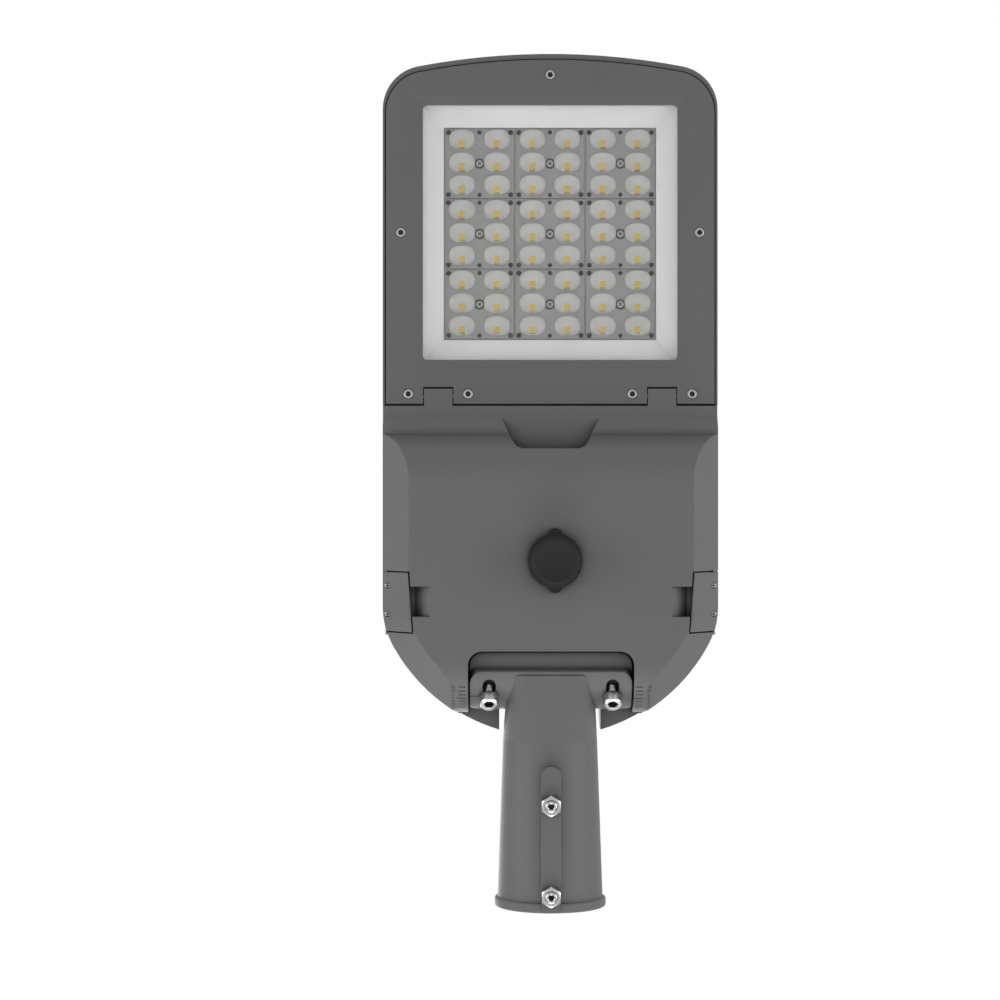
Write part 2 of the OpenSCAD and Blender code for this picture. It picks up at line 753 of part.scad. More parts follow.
module hinge_pin(s) color("#b0b0b0") translate([s * hinge_x, hinge_y, hinge_z])
    rod_x(hinge_pin_d, -tab_w / 2 - ear_gap - ear_w, tab_w / 2 + ear_gap + ear_w, $fn = 32);
module hinge_pin_left() hinge_pin(-1);
module hinge_pin_right() hinge_pin(1);

// Latch: a skin of the door's own shape that swings about a pin in its outer edge
module latch_right() color("#686868") difference() {
    intersection() {
        door_form(0);
        latch_block(0);
        block(0, half_w, 0, big, -door_z - cut, latch_top_z);
    }
    door_form(latch_t);
    translate([latch_pin_x, 0, latch_pin_z]) rod_y(latch_pin_d + 0.12, 0, big, $fn = 32);
    for (y = [-10, 10]) translate([latch_screw_x, latch_y + 1.2 + y, 0]) {
        rod_z(2, -door_z, 0);
        rod_z(4.2, -door_z, latch_screw_z + 1.4);
    }
}
module latch_left() mirror([1, 0, 0]) latch_right();

module latch_pin_right() color("#b0b0b0") translate([latch_pin_x, 0, latch_pin_z])
    rod_y(latch_pin_d, latch_pin_y0, latch_pin_y1, $fn = 32);
module latch_pin_left() mirror([1, 0, 0]) latch_pin_right();

// Spring steel hook behind the latch, with its tongue up into the housing's rim
module latch_hook_right() color("#c8c8c8") difference() {
    slope = bevel_w / bevel_h;
    turn = (sqrt(1 + slope * slope) - 1) / slope; // rise of an inner corner for each mm of thickness
    x = half_w - draft - latch_t - hook_seat;
    z = step_z + turn * (latch_t + hook_seat);
    foot = 6;
    along_y(latch_y - hook_w / 2, latch_y + hook_w / 2) polygon([
        [x, hook_top_z], [x, z], [x - foot, z - foot / slope],
        [x - foot - hook_t * sqrt(1 + slope * slope), z - foot / slope],
        [x - hook_t, z + turn * hook_t], [x - hook_t, hook_top_z]
    ]);
    for (y = [-10, 10]) translate([latch_screw_x, latch_y + 1.2 + y, 0]) rod_z(2, -door_z, 0);
}
module latch_hook_left() mirror([1, 0, 0]) latch_hook_right();

module latch_screws_right() color("#b8b8b8") for (y = [-10, 10]) translate([latch_screw_x, latch_y + 1.2 + y, 0]) {
    rod_z(2, latch_screw_z + 1.4, latch_screw_z + 6.2);
    difference() {
        rod_z(3.9, latch_screw_z, latch_screw_z + 1.4);
        translate([0, 0, latch_screw_z - cut]) cylinder(d = 1.6, h = cut + 0.8, $fn = 6);
    }
}
module latch_screws_left() mirror([1, 0, 0]) latch_screws_right();

// Sensor socket with its dust cap
module at_socket() translate([socket_x, socket_y, -door_z]) children();
module socket_gasket() color("#1c1c1c") at_socket() difference() {
    rod_z(cap_ring_d, -1.2, 0);
    rod_z(socket_d, -2, cut);
}
module sensor_socket() color("#303030") at_socket() difference() {
    union() {
        rod_z(cap_ring_d, -4.2, -1.2);
        rod_z(socket_d, -1.3, 18);
        translate([-5, -cap_ear_r + 4, -4.2]) cube([10, 2 * cap_ear_r - 8, 3]);
        for (s = [-1, 1]) translate([0, s * (cap_ear_r - 5), 0]) rod_z(10, -4.2, -1.2);
    }
    rod_z(socket_d - 6, -5, 9);
    for (a = [45, 165, 285]) rotate([0, 0, a]) translate([7, 0, 0]) rod_z(3, 8, 14);
}
module socket_nut() color("#3a3a3a") at_socket() difference() {
    translate([0, 0, door_wall]) cylinder(d = socket_d + 10, h = 5, $fn = 6);
    rod_z(socket_d, 0, 10);
}
module dust_cap() color("#383838") at_socket() difference() {
    z = -4.2 - run_gap;
    union() {
        rod_z(cap_ring_d, z - 5, z);
        translate([0, 0, -cap_h]) cylinder(d1 = cap_disc_d, d2 = cap_ring_d - 2, h = cap_h + z - 4.9);
        rod_z(socket_d - 7, z - cut, 8);
    }
    rod_z(socket_d - 11, z - 14, 9);
}

module led_board() color("#dcdcd8") difference() {
    translate([0, window_y, board_z]) upright(0, board_t) soft_rect(lens_field + 6, lens_field + 6, 3);
    for (p = lens_centres()) translate([p.x, p.y, 0]) rod_z(lens_screw_d + 0.4, 0, roof_z);
}
module led_places() for (x = [-1, 1], y = led_dy) translate([x * led_dx, y, 0]) children();
module led_chips() color("#d8b848") for (p = lens_centres()) translate([p.x, p.y, 0])
    led_places() translate([-led_w / 2, -led_w / 2, board_z - chip_t]) cube([led_w, led_w, chip_t]);

// Lemon-shaped dome: an arc turned about an axis above the plate's face
module lens_dome() {
    lift = (dome_w * dome_w / 4 - dome_h * dome_h) / (2 * dome_h);
    top_r = lift + dome_h;
    arc_r = sag_r(dome_l / 2, dome_h);
    intersection() {
        translate([0, 0, lens_z + lift]) rotate([0, 90, 0]) rotate_extrude($fn = 48) intersection() {
            translate([top_r - arc_r, 0]) circle(arc_r, $fn = 64);
            translate([0, -arc_r]) square([top_r + 1, 2 * arc_r]);
        }
        block(-dome_l, dome_l, -dome_w, dome_w, lens_z - dome_h - cut, lens_z + 0.5);
    }
}

module lens_module(n) color("#989898") translate([lens_centres()[n].x, lens_centres()[n].y, 0]) difference() {
    union() {
        upright(lens_z, board_z) soft_rect(lens_w, lens_w, 1);
        for (x = [-1, 1] * led_dx, y = dome_dy) translate([x, y, 0]) lens_dome();
    }
    led_places() rod_z(7, lens_z + 1, board_z + cut, $fn = 24);
    rod_z(lens_screw_d + 0.4, 0, board_z + cut, $fn = 24);
    rod_z(lens_recess_d, 0, lens_z + 1.6, $fn = 32);
    for (x = [-1, 1], y = [-1, 1]) translate([x, y, 0] * (lens_w / 2 - 2.6)) rod_z(2, 0, lens_z + 1.2, $fn = 16);
}
module lens_module_1() lens_module(0);
module lens_module_2() lens_module(1);
module lens_module_3() lens_module(2);
module lens_module_4() lens_module(3);
module lens_module_5() lens_module(4);
module lens_module_6() lens_module(5);
module lens_module_7() lens_module(6);
module lens_module_8() lens_module(7);
module lens_module_9() lens_module(8);

module lens_screws() color("#a8a8a8") for (p = lens_centres()) translate([p.x, p.y, 0]) difference() {
    union() {
        rod_z(lens_head_d, lens_z - 0.2, lens_z + 1.6, $fn = 32);
        rod_z(lens_screw_d, lens_z + 1.5, base_z + 3, $fn = 32);
    }
    for (a = [45, 135]) rotate([0, 0, a]) block(-1.5, 1.5, -0.35, 0.35, lens_z - cut, lens_z + 0.7);
}

// White frame that slopes from the window's edge to the lens plates
module reflector() color("#d0d0cc") {
    outer_w = window_w + 8;
    difference() {
        union() {
            funnel(outer_w, reflector_z, lens_field + 6, board_z - 0.4);
            funnel(outer_w + 6, reflector_z, outer_w + 6, reflector_z + 1.6);
        }
        funnel(outer_w - 3.4, reflector_z - 0.01, lens_field + 0.6, lens_z + 0.2);
        block(-lens_field / 2 - 0.3, lens_field / 2 + 0.3, window_y - lens_field / 2 - 0.3, window_y + lens_field / 2 + 0.3, 0, base_z);
    }
}

module glass() color("#cfe0e0", 0.25) upright(glass_z, glass_z + glass_t)
    translate([0, window_y]) soft_rect(glass_w, glass_w, window_r + 2);

module glass_gasket() color("#1c1c1c") upright(glass_z - glass_seal_t, glass_z) difference() {
    translate([0, window_y]) soft_rect(glass_w - 1, glass_w - 1, window_r + 2);
    window_plan(1.5);
}

module glass_frame() color("#606060") difference() {
    upright(frame_z, frame_top_z) frame_plan(0);
    upright(frame_z - cut, 0) window_plan(0);
    funnel(window_w + 2 * window_bevel + 2, frame_z - 0.24, window_w - 2, frame_z + 1.2);
    upright(frame_z + lip_t, 0) translate([0, window_y]) soft_rect(glass_w + 1, glass_w + 1, window_r + 2.5);
    for (p = frame_screw_at) translate([p.x, p.y, 0]) {
        rod_z(frame_screw_d + 0.5, frame_z - cut, 0);
        rod_z(frame_head_d + 0.5, frame_z - cut, frame_z + 1.6);
    }
    hinge_stations() {
        block(-tab_w / 2 - tab_gap, tab_w / 2 + tab_gap, 0, split_y + tab_len + 1.2, -big / 4, 0);
        for (s = [-1, 1]) translate([s * (tab_w / 2 + ear_gap + ear_w / 2), 0, 0])
            block(-ear_w / 2 - 0.4, ear_w / 2 + 0.4, 0, hinge_y + 3.6, frame_z + 1, 0);
    }
}

module frame_gasket() color("#1c1c1c") upright(frame_top_z, shelf_z) difference() {
    translate([0, window_y]) soft_rect(optics_w + 2 * (frame_seal_in + frame_seal_w), optics_w + 2 * (frame_seal_in + frame_seal_w), 7);
    translate([0, window_y]) soft_rect(optics_w + 2 * frame_seal_in, optics_w + 2 * frame_seal_in, 4.5);
}

module frame_screws() color("#a8a8a8") for (p = frame_screw_at) translate([p.x, p.y, 0]) difference() {
    union() {
        rod_z(frame_head_d, frame_z - 0.2, frame_z + 1.6, $fn = 48);
        rod_z(frame_screw_d, frame_z + 1.5, shelf_z + 8);
    }
    translate([0, 0, frame_z - cut]) cylinder(d = 3.7, h = 2, $fn = 6);
}

module spigot_bolts() color("#c4c4c4") for (x = [-1, 1] * bolt_pitch / 2) translate([x, 0, 0]) radial(bolt_angle) difference() {
    union() {
        translate([0, 0, seat_r - 17]) cylinder(d = bolt_d, h = flange_t + 17 + run_gap + 0.1);
        translate([0, 0, flange_r + run_gap]) cylinder(d = bolt_head_d, h = bolt_head_h);
    }
    translate([0, 0, flange_r + run_gap + bolt_head_h - 4]) cylinder(d = 6.9, h = 5, $fn = 6);
}

module lead_gland() color("#2a2a2a") difference() {
    y1 = window_y - optics_w / 2;
    union() {
        rod_y_at(lead_d, 0, split_y - house_wall, y1, lead_z);
        rod_y_at(lead_d + 3, 0, split_y - house_wall - 3, split_y - house_wall, lead_z);
    }
    rod_y_at(lead_d - 4, 0, split_y - 20, y1 + cut, lead_z);
}

// Gear tray with its equipment
module tray_holes() for (p = tray_screw_at) translate([p.x, p.y, 0]) rod_z(4.4, 0, roof_z);
module gear_tray() color("#c8ccd0") difference() {
    union() {
        block(-tray_half_w, tray_half_w, tray_y0, tray_y1, tray_z, tray_z + tray_t);
        for (s = [-1, 1]) translate([s * (tray_half_w - 1), 0, 0]) block(-1, 1, tray_y0, tray_y1, tray_z - 6, tray_z + tray_t);
    }
    tray_holes();
    translate([earth_x, earth_y, 0]) rod_z(5, 0, roof_z);
    translate([0, tray_y0, 0]) rod_z(60, 0, roof_z);
}
module tray_screws() color("#b8b8b8") for (p = tray_screw_at) translate([p.x, p.y, 0]) {
    rod_z(4, tray_z - 0.5, tray_z + 11);
    rod_z(8, tray_z - 3, tray_z);
}
module driver() color("#e6e6e2") difference() {
    translate([driver_x, driver_y, tray_z - driver_h]) {
        upright(0, driver_h) soft_rect(driver_w, driver_l, 3);
        for (s = [-1, 1]) translate([0, s * (driver_l / 2 + 4), 0]) block(-driver_w / 4, driver_w / 4, -6, 6, driver_h - 2, driver_h);
    }
    for (s = [-1, 1]) translate([driver_x, driver_y + s * (driver_l / 2 + 5), 0]) rod_z(4.4, 0, roof_z);
}
module driver_screws() color("#b8b8b8") for (s = [-1, 1]) translate([driver_x, driver_y + s * (driver_l / 2 + 5), 0]) {
    rod_z(4, tray_z - 2.5, tray_z);
    rod_z(8, tray_z - 4.5, tray_z - 2);
}
module surge_protector() color("#d8d4c8") translate([surge_x, surge_y, tray_z - surge_h])
    upright(0, surge_h) soft_rect(surge_w, surge_l, 3);
module terminal_block() color("#ececec") translate([surge_x, terminal_y, tray_z - terminal_h]) difference() {
    block(-terminal_w / 2, terminal_w / 2, -terminal_l / 2, terminal_l / 2, 0, terminal_h);
    for (i = [-2 : 2]) translate([i * 9, 0, 0]) {
        rod_z(4, -cut, 5, $fn = 24);
        translate([0, 0, 9]) rod_y(5, -terminal_l / 2 - 1, -2, $fn = 24);
        translate([0, 0, 9]) rod_y(5, 2, terminal_l / 2 + 1, $fn = 24);
    }
}
module cable_clamp() color("#2c2c2c") translate([clamp_x, clamp_y, tray_z - 12]) difference() {
    block(-17, 17, -6, 6, 0, 12);
    translate([0, 0, 12]) rod_y(12, -10, 10);
    for (x = [-12, 12]) translate([x, 0, 0]) rod_z(4, -cut, 20);
}
module clamp_screws() color("#b8b8b8") translate([clamp_x, clamp_y, tray_z - 12]) for (x = [-12, 12]) translate([x, 0, 0]) {
    rod_z(4, -1, 12);
    rod_z(7, -3, 0);
}
module breather() color("#2a2a2a") translate([0, breather_y, breather_z]) {
    rod_x(8, channel_half_w, channel_half_w + house_wall + 4);
    rod_x(12, channel_half_w - 2, channel_half_w);
}
module earth_screw() color("#b8a050") translate([earth_x, earth_y, 0]) {
    rod_z(5, tray_z - 2, tray_z + tray_t);
    rod_z(9, tray_z - 4, tray_z - 2);
}

spigot();
set_screws();
lock_nuts();
housing();
spigot_bolts();
led_board();
led_chips();
lens_module_1();
lens_module_2();
lens_module_3();
lens_module_4();
lens_module_5();
lens_module_6();
lens_module_7();
lens_module_8();
lens_module_9();
lens_screws();
reflector();
glass();
glass_gasket();
glass_frame();
frame_gasket();
frame_screws();
lead_gland();
gear_tray();
tray_screws();
driver();
driver_screws();
surge_protector();
terminal_block();
cable_clamp();
clamp_screws();
breather();
earth_screw();
door();
door_gasket();
hinge_pin_left();
hinge_pin_right();
sensor_socket();
socket_gasket();
socket_nut();
latch_pin_left();
latch_pin_right();
latch_left();
latch_right();
latch_hook_left();
latch_hook_right();
latch_screws_left();
latch_screws_right();
dust_cap();
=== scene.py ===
"""Dressing of a pole-mounted LED street light.

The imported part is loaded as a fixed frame. Each operator finishes one piece or one group
of like pieces, and the last one sets the stage.
"""

import json
import math

import bmesh
import bpy
import numpy as np
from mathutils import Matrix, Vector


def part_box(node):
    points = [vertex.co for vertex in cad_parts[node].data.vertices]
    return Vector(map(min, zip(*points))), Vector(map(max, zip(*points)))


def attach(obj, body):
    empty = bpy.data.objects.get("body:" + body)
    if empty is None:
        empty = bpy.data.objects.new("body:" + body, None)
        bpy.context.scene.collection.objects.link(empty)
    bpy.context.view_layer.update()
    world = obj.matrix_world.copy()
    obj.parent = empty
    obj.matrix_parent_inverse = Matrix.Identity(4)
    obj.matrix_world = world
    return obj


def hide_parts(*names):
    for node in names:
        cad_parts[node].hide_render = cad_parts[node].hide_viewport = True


bl_info = {
    "name": "Street Light Dressing",
    "version": (1, 0, 0),
    "blender": (4, 5, 0),
    "location": "View3D > Sidebar > Street Light",
    "description": "Finishes and small parts of a pole-mounted LED street light",
    "category": "Object",
}

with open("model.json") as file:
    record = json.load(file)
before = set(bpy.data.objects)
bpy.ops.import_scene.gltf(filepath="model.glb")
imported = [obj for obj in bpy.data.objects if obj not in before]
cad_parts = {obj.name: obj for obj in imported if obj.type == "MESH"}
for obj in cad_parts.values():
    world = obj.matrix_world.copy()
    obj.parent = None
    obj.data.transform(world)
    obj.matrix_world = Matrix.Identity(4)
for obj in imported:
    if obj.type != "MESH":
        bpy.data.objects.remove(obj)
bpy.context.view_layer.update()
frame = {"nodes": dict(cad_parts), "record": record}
MM = 0.001
PLATE_PITCH = 0.05  # from one lens plate to the next
WINDOW_Y = 0.476  # middle of the window
TILT_AXIS = np.array([0.0, 0.177, 0.0])  # a point on the axis that the head tilts about
SCALE_MIDDLE = 45  # degrees between the scale's zero and straight down


def colour(code):
    """A display colour such as #646464 as linear red, green, blue and alpha.

    Each part c becomes ((c + 0.055) / 1.055) ** 2.4, or c / 12.92 where it is below 0.04045.
    """
    parts = np.array([int(code[i : i + 2], 16) for i in (1, 3, 5)]) / 255
    low = parts / 12.92
    high = ((parts + 0.055) / 1.055) ** 2.4
    return (*np.where(parts < 0.04045, low, high), 1.0)


def length_property(name, description, default):
    return bpy.props.FloatProperty(
        name=name, description=description, default=default, min=0, unit="LENGTH", precision=5
    )


def colour_property(name, description, code):
    return bpy.props.FloatVectorProperty(
        name=name, description=description, default=colour(code), size=4, min=0, max=1, subtype="COLOR"
    )


class PaintSettings(bpy.types.PropertyGroup):
    body: colour_property("Body", "Powder coat of the housing, door, latches and spigot", "#5e5e5e")
    window_frame: colour_property("Window frame", "Powder coat of the frame round the glass", "#5c5c5c")
    grain: length_property("Grain size", "Width of one grain of the powder coat", 0.0011)
    grain_depth: length_property("Grain depth", "Height of the powder coat's orange peel", 0.00004)
    edge: length_property("Edge radius", "Rounding of the cast edges", 0.0009)
    # The recess reach sets how far the painted shade of gaps and recesses spreads.
    recess: length_property("Recess reach", "Width of the gaps and recesses that stay dark", 0.009)


class LensSettings(bpy.types.PropertyGroup):
    plate: colour_property("Plate", "Frosted plastic of the lens plates", "#989898")
    dome: colour_property("Dome", "Clear plastic of the domes", "#fbfbfb")
    dome_length: length_property("Dome length", "Length of one dome, along the plate's rows", 0.0186)
    dome_width: length_property("Dome width", "Width of one dome", 0.0142)
    dome_height: length_property("Dome height", "Height of one dome above its plate", 0.0042)
    roundness: bpy.props.FloatProperty(
        name="Roundness",
        description="2 is an ellipse, and more is nearer to a rounded rectangle",
        default=2.5,
        min=2,
        max=6,
    )


class FastenerSettings(bpy.types.PropertyGroup):
    zinc: colour_property("Zinc", "Zinc plate of the clamp bolts and set screws", "#cdcdcd")
    head: length_property("Bolt head", "Diameter of a clamp bolt's head", 0.013)
    head_height: length_property("Bolt head height", "Height of a clamp bolt's head", 0.008)
    thread: length_property("Thread", "Diameter of the clamp bolts and set screws", 0.008)
    pitch: length_property("Pitch", "Pitch of their thread", 0.00125)
    ribs: bpy.props.IntProperty(name="Ribs", description="Ribs round a bolt head", default=40, min=0)


class CapSettings(bpy.types.PropertyGroup):
    body: colour_property("Cap", "Moulded plastic of the dust cap", "#262626")
    ring: length_property("Ring", "Diameter of the cap's grip ring", 0.038)
    disc: length_property("Disc", "Diameter of the cap's flat end", 0.0316)
    reach: length_property("Reach", "Height of the cap above the door", 0.022)


class ScaleSettings(bpy.types.PropertyGroup):
    height: length_property("Number height", "Height of the numbers beside the tilt scale", 0.0023)
    step: bpy.props.IntProperty(name="Step", description="Degrees between two marks", default=5, min=1)


class StageSettings(bpy.types.PropertyGroup):
    camera: bpy.props.FloatVectorProperty(
        name="Camera",
        description="Place of the camera, below the light",
        default=(0.03546, 0.287, -1.836),
        subtype="XYZ",
        unit="LENGTH",
    )
    lens: bpy.props.FloatProperty(name="Lens", description="Focal length in millimetres", default=93.3)
    side_light: bpy.props.FloatProperty(
        name="Side lights",
        description="Power of the soft lights beside the part",
        default=5.0,
        unit="POWER",
    )
    tail_light: bpy.props.FloatProperty(
        name="Tail light",
        description="Power of the soft light behind the spigot",
        default=6.0,
        unit="POWER",
    )
    front_light: bpy.props.FloatProperty(
        name="Front light",
        description="Power of the soft light before the head",
        default=2.5,
        unit="POWER",
    )
    top_light: bpy.props.FloatProperty(
        name="Top light",
        description="Power of the soft light above the part",
        default=14.0,
        unit="POWER",
    )
    room: bpy.props.FloatProperty(
        name="Room", description="Strength of the even light", default=0.4, min=0
    )
    floor_drop: length_property("Floor drop", "Height of the part above the floor", 0.75)


# Node helpers

class Tree:
    """A node tree that is filled by short calls."""

    def __init__(self, tree):
        self.tree = tree

    def node(self, kind, inputs=None, **settings):
        made = self.tree.nodes.new(kind)
        for key, value in settings.items():
            setattr(made, key, value)
        for key, value in (inputs or {}).items():
            if isinstance(value, bpy.types.NodeSocket):
                self.tree.links.new(value, made.inputs[key])
            else:
                made.inputs[key].default_value = value
        return made

    def math(self, operation, a, b=None, clamp=False):
        inputs = {0: a} if b is None else {0: a, 1: b}
        return self.node("ShaderNodeMath", inputs, operation=operation, use_clamp=clamp).outputs[0]

    def vector_math(self, operation, a, b):
        made = self.node("ShaderNodeVectorMath", {0: a, 1: b}, operation=operation)
        return made.outputs["Value" if operation == "DOT_PRODUCT" else "Vector"]

    def mix(self, share, a, b):
        """The colour a where share is 0, and b where it is 1."""
        made = self.node("ShaderNodeMix", data_type="RGBA")
        for socket, value in zip((made.inputs[0], made.inputs[6], made.inputs[7]), (share, a, b)):
            if isinstance(value, bpy.types.NodeSocket):
                self.tree.links.new(value, socket)
            else:
                socket.default_value = value
        return made.outputs[2]

    def span(self, value, low, high, at_low=0.0, at_high=1.0):
        """at_low where value is low or less, at_high where it is high or more, and even between."""
        inputs = {"Value": value, "From Min": low, "From Max": high, "To Min": at_low, "To Max": at_high}
        return self.node("ShaderNodeMapRange", inputs).outputs[0]

    def object_place(self):
        return self.node("ShaderNodeTexCoord").outputs["Object"]


def new_group(name, inputs, outputs):
    """An empty shader node group.

    Inputs are (name, kind, default), and outputs are (name, kind).
    """
    tree = bpy.data.node_groups.new(name, "ShaderNodeTree")
    for label, kind, default in inputs:
        tree.interface.new_socket(label, in_out="INPUT", socket_type=kind).default_value = default
    for label, kind in outputs:
        tree.interface.new_socket(label, in_out="OUTPUT", socket_type=kind)
    made = Tree(tree)
    return made, made.node("NodeGroupInput").outputs, made.node("NodeGroupOutput").inputs


def grain_group():
    """Two sizes of noise: a fine one for the surface's height and a broad one for its tone."""
    tree, given, result = new_group(
        "surface_grain",
        [("Fineness", "NodeSocketFloat", 900.0), ("Tone Fineness", "NodeSocketFloat", 18.0)],
        [("Height", "NodeSocketFloat"), ("Tone", "NodeSocketFloat")],
    )
    place = tree.object_place()
    for size, detail, label in (("Fineness", 2.0, "Height"), ("Tone Fineness", 3.0, "Tone")):
        inputs = {"Vector": place, "Scale": given[size], "Detail": detail}
        noise = tree.node("ShaderNodeTexNoise", inputs)
        tree.tree.links.new(noise.outputs[0], result[label])


def edge_group():
    """Normals that turn softly over an edge, and a mask of how near the edge is.

    The mask is 1 less the cosine between the soft and the true normal, times 6, at most 1.
    """
    tree, given, result = new_group(
        "soft_edge",
        [("Radius", "NodeSocketFloat", 0.0008)],
        [("Normal", "NodeSocketVector"), ("Edge", "NodeSocketFloat")],
    )
    soft = tree.node("ShaderNodeBevel", {"Radius": given["Radius"]}, samples=6)
    true = tree.node("ShaderNodeNewGeometry").outputs["True Normal"]
    cosine = tree.vector_math("DOT_PRODUCT", soft.outputs[0], true)
    edge = tree.math("MULTIPLY", tree.math("SUBTRACT", 1.0, cosine), 6.0, clamp=True)
    tree.tree.links.new(soft.outputs[0], result["Normal"])
    tree.tree.links.new(edge, result["Edge"])


class Finish:
    """A material with one Principled shader, to which the two shared groups can be added."""

    def __init__(self, name, **values):
        self.material = bpy.data.materials.new(name)
        self.material.use_nodes = True
        self.tree = Tree(self.material.node_tree)
        self.material.node_tree.nodes.clear()
        self.shader = self.tree.node("ShaderNodeBsdfPrincipled")
        self.out = self.tree.node("ShaderNodeOutputMaterial")
        self.link(self.shader.outputs[0], self.out.inputs[0])
        for key, value in values.items():
            self.shader.inputs[key.replace("_", " ")].default_value = value

    def link(self, a, b):
        self.tree.tree.links.new(a, b)

    def group(self, name, **inputs):
        made = self.tree.node("ShaderNodeGroup", node_tree=bpy.data.node_groups[name])
        for key, value in inputs.items():
            made.inputs[key.replace("_", " ")].default_value = value
        return made.outputs

    def relief(self, height, depth, normal=None):
        """Turns the shader's normal by a height that is depth metres where it is 1."""
        inputs = {"Distance": depth, "Height": height, "Strength": 1.0}
        bump = self.tree.node("ShaderNodeBump", inputs)
        if normal is not None:
            self.link(normal, bump.inputs["Normal"])
        self.link(bump.outputs[0], self.shader.inputs["Normal"])

    def roughness(self, share, low, high):
        self.link(self.tree.span(share, 0.0, 1.0, low, high), self.shader.inputs["Roughness"])


def shade(tone, amount):
    """A colour made lighter or darker by one factor."""
    return (*(min(1.0, c * amount) for c in tone[:3]), 1.0)


def powder_coat(name, tone, settings):
    """Satin powder coat: orange peel, a faint change of tone, worn edges, and painted shade in narrow gaps
    and recesses, darkened by ambient occlusion.
    """
    made = Finish(name, Specular_IOR_Level=0.38)
    grain = made.group("surface_grain", Fineness=1 / settings.grain, Tone_Fineness=9.0)
    edge = made.group("soft_edge", Radius=settings.edge)
    plain = made.tree.mix(grain["Tone"], shade(tone, 0.95), shade(tone, 1.05))
    worn = made.tree.mix(made.tree.math("MULTIPLY", edge["Edge"], 0.45), plain, shade(tone, 1.22))
    # Painted shade: ambient occlusion darkens the coat towards 0.18 of its tone in gaps and recesses.
    inputs = {"Distance": settings.recess}
    openness = made.tree.node("ShaderNodeAmbientOcclusion", inputs, samples=4).outputs["AO"]
    lit = made.tree.span(openness, 0.35, 0.8)
    base = made.tree.mix(lit, shade(tone, 0.18), worn)
    made.link(base, made.shader.inputs["Base Color"])
    made.roughness(grain["Tone"], 0.44, 0.54)
    made.relief(grain["Height"], settings.grain_depth, edge["Normal"])
    return made.material


def metal(name, tone, rough, fineness=500.0, edge_radius=0.0003):
    """Plated or bare steel with fine marks and softened edges."""
    made = Finish(name, Metallic=1.0)
    grain = made.group("surface_grain", Fineness=fineness, Tone_Fineness=60.0)
    edge = made.group("soft_edge", Radius=edge_radius)
    base = made.tree.mix(grain["Tone"], shade(tone, 0.86), shade(tone, 1.06))
    made.link(base, made.shader.inputs["Base Color"])
    made.roughness(grain["Height"], rough * 0.8, rough * 1.25)
    made.relief(grain["Height"], 0.000006, edge["Normal"])
    return made.material


def moulded(
    name, tone, rough, depth=0.00002, fineness=1400.0, edge_radius=0.0006, shine=0.4
):
    """Moulded plastic, rubber or painted board: fine spark texture and softened edges."""
    made = Finish(name, Specular_IOR_Level=shine)
    grain = made.group("surface_grain", Fineness=fineness, Tone_Fineness=25.0)
    edge = made.group("soft_edge", Radius=edge_radius)
    base = made.tree.mix(grain["Tone"], shade(tone, 0.94), shade(tone, 1.05))
    made.link(base, made.shader.inputs["Base Color"])
    made.roughness(grain["Tone"], rough * 0.9, rough * 1.1)
    made.relief(grain["Height"], depth, edge["Normal"])
    return made.material


def clear(name, tone, rough, shadow, fineness=60.0, depth=0.0):
    """Clear glass or plastic that lets light through to what is behind it."""
    made = Finish(name, Base_Color=tone, Transmission_Weight=1.0, IOR=1.46)
    grain = made.group("surface_grain", Fineness=fineness, Tone_Fineness=40.0)
    made.roughness(grain["Tone"], rough * 0.6, rough * 1.4)
    if depth:
        made.relief(grain["Height"], depth)
    through = made.tree.node("ShaderNodeBsdfTransparent", {"Color": shadow})
    is_shadow = made.tree.node("ShaderNodeLightPath").outputs["Is Shadow Ray"]
    both = made.tree.node("ShaderNodeMixShader", {0: is_shadow})
    made.link(made.shader.outputs[0], both.inputs[1])
    made.link(through.outputs[0], both.inputs[2])
    made.link(both.outputs[0], made.out.inputs[0])
    return made.material


def wrapped(tree, value, middle, pitch):
    """The distance of value from the nearest of the plates' middles, which lie a pitch apart."""
    shifted = tree.math("DIVIDE", tree.math("SUBTRACT", value, middle), pitch)
    return tree.math("MULTIPLY", tree.math("SUBTRACT", shifted, tree.math("ROUND", shifted)), pitch)


def hole_mask(tree, across, along, place, radius):
    """1 inside the circles of that radius whose middles mirror to place, and 0 outside."""
    dx = tree.math("SUBTRACT", tree.math("ABSOLUTE", across), place[0])
    dy = tree.math("SUBTRACT", tree.math("ABSOLUTE", along), place[1])
    square = tree.math("ADD", tree.math("MULTIPLY", dx, dx), tree.math("MULTIPLY", dy, dy))
    return tree.span(tree.math("SQRT", square), radius * 0.85, radius * 1.1, 1.0, 0.0)


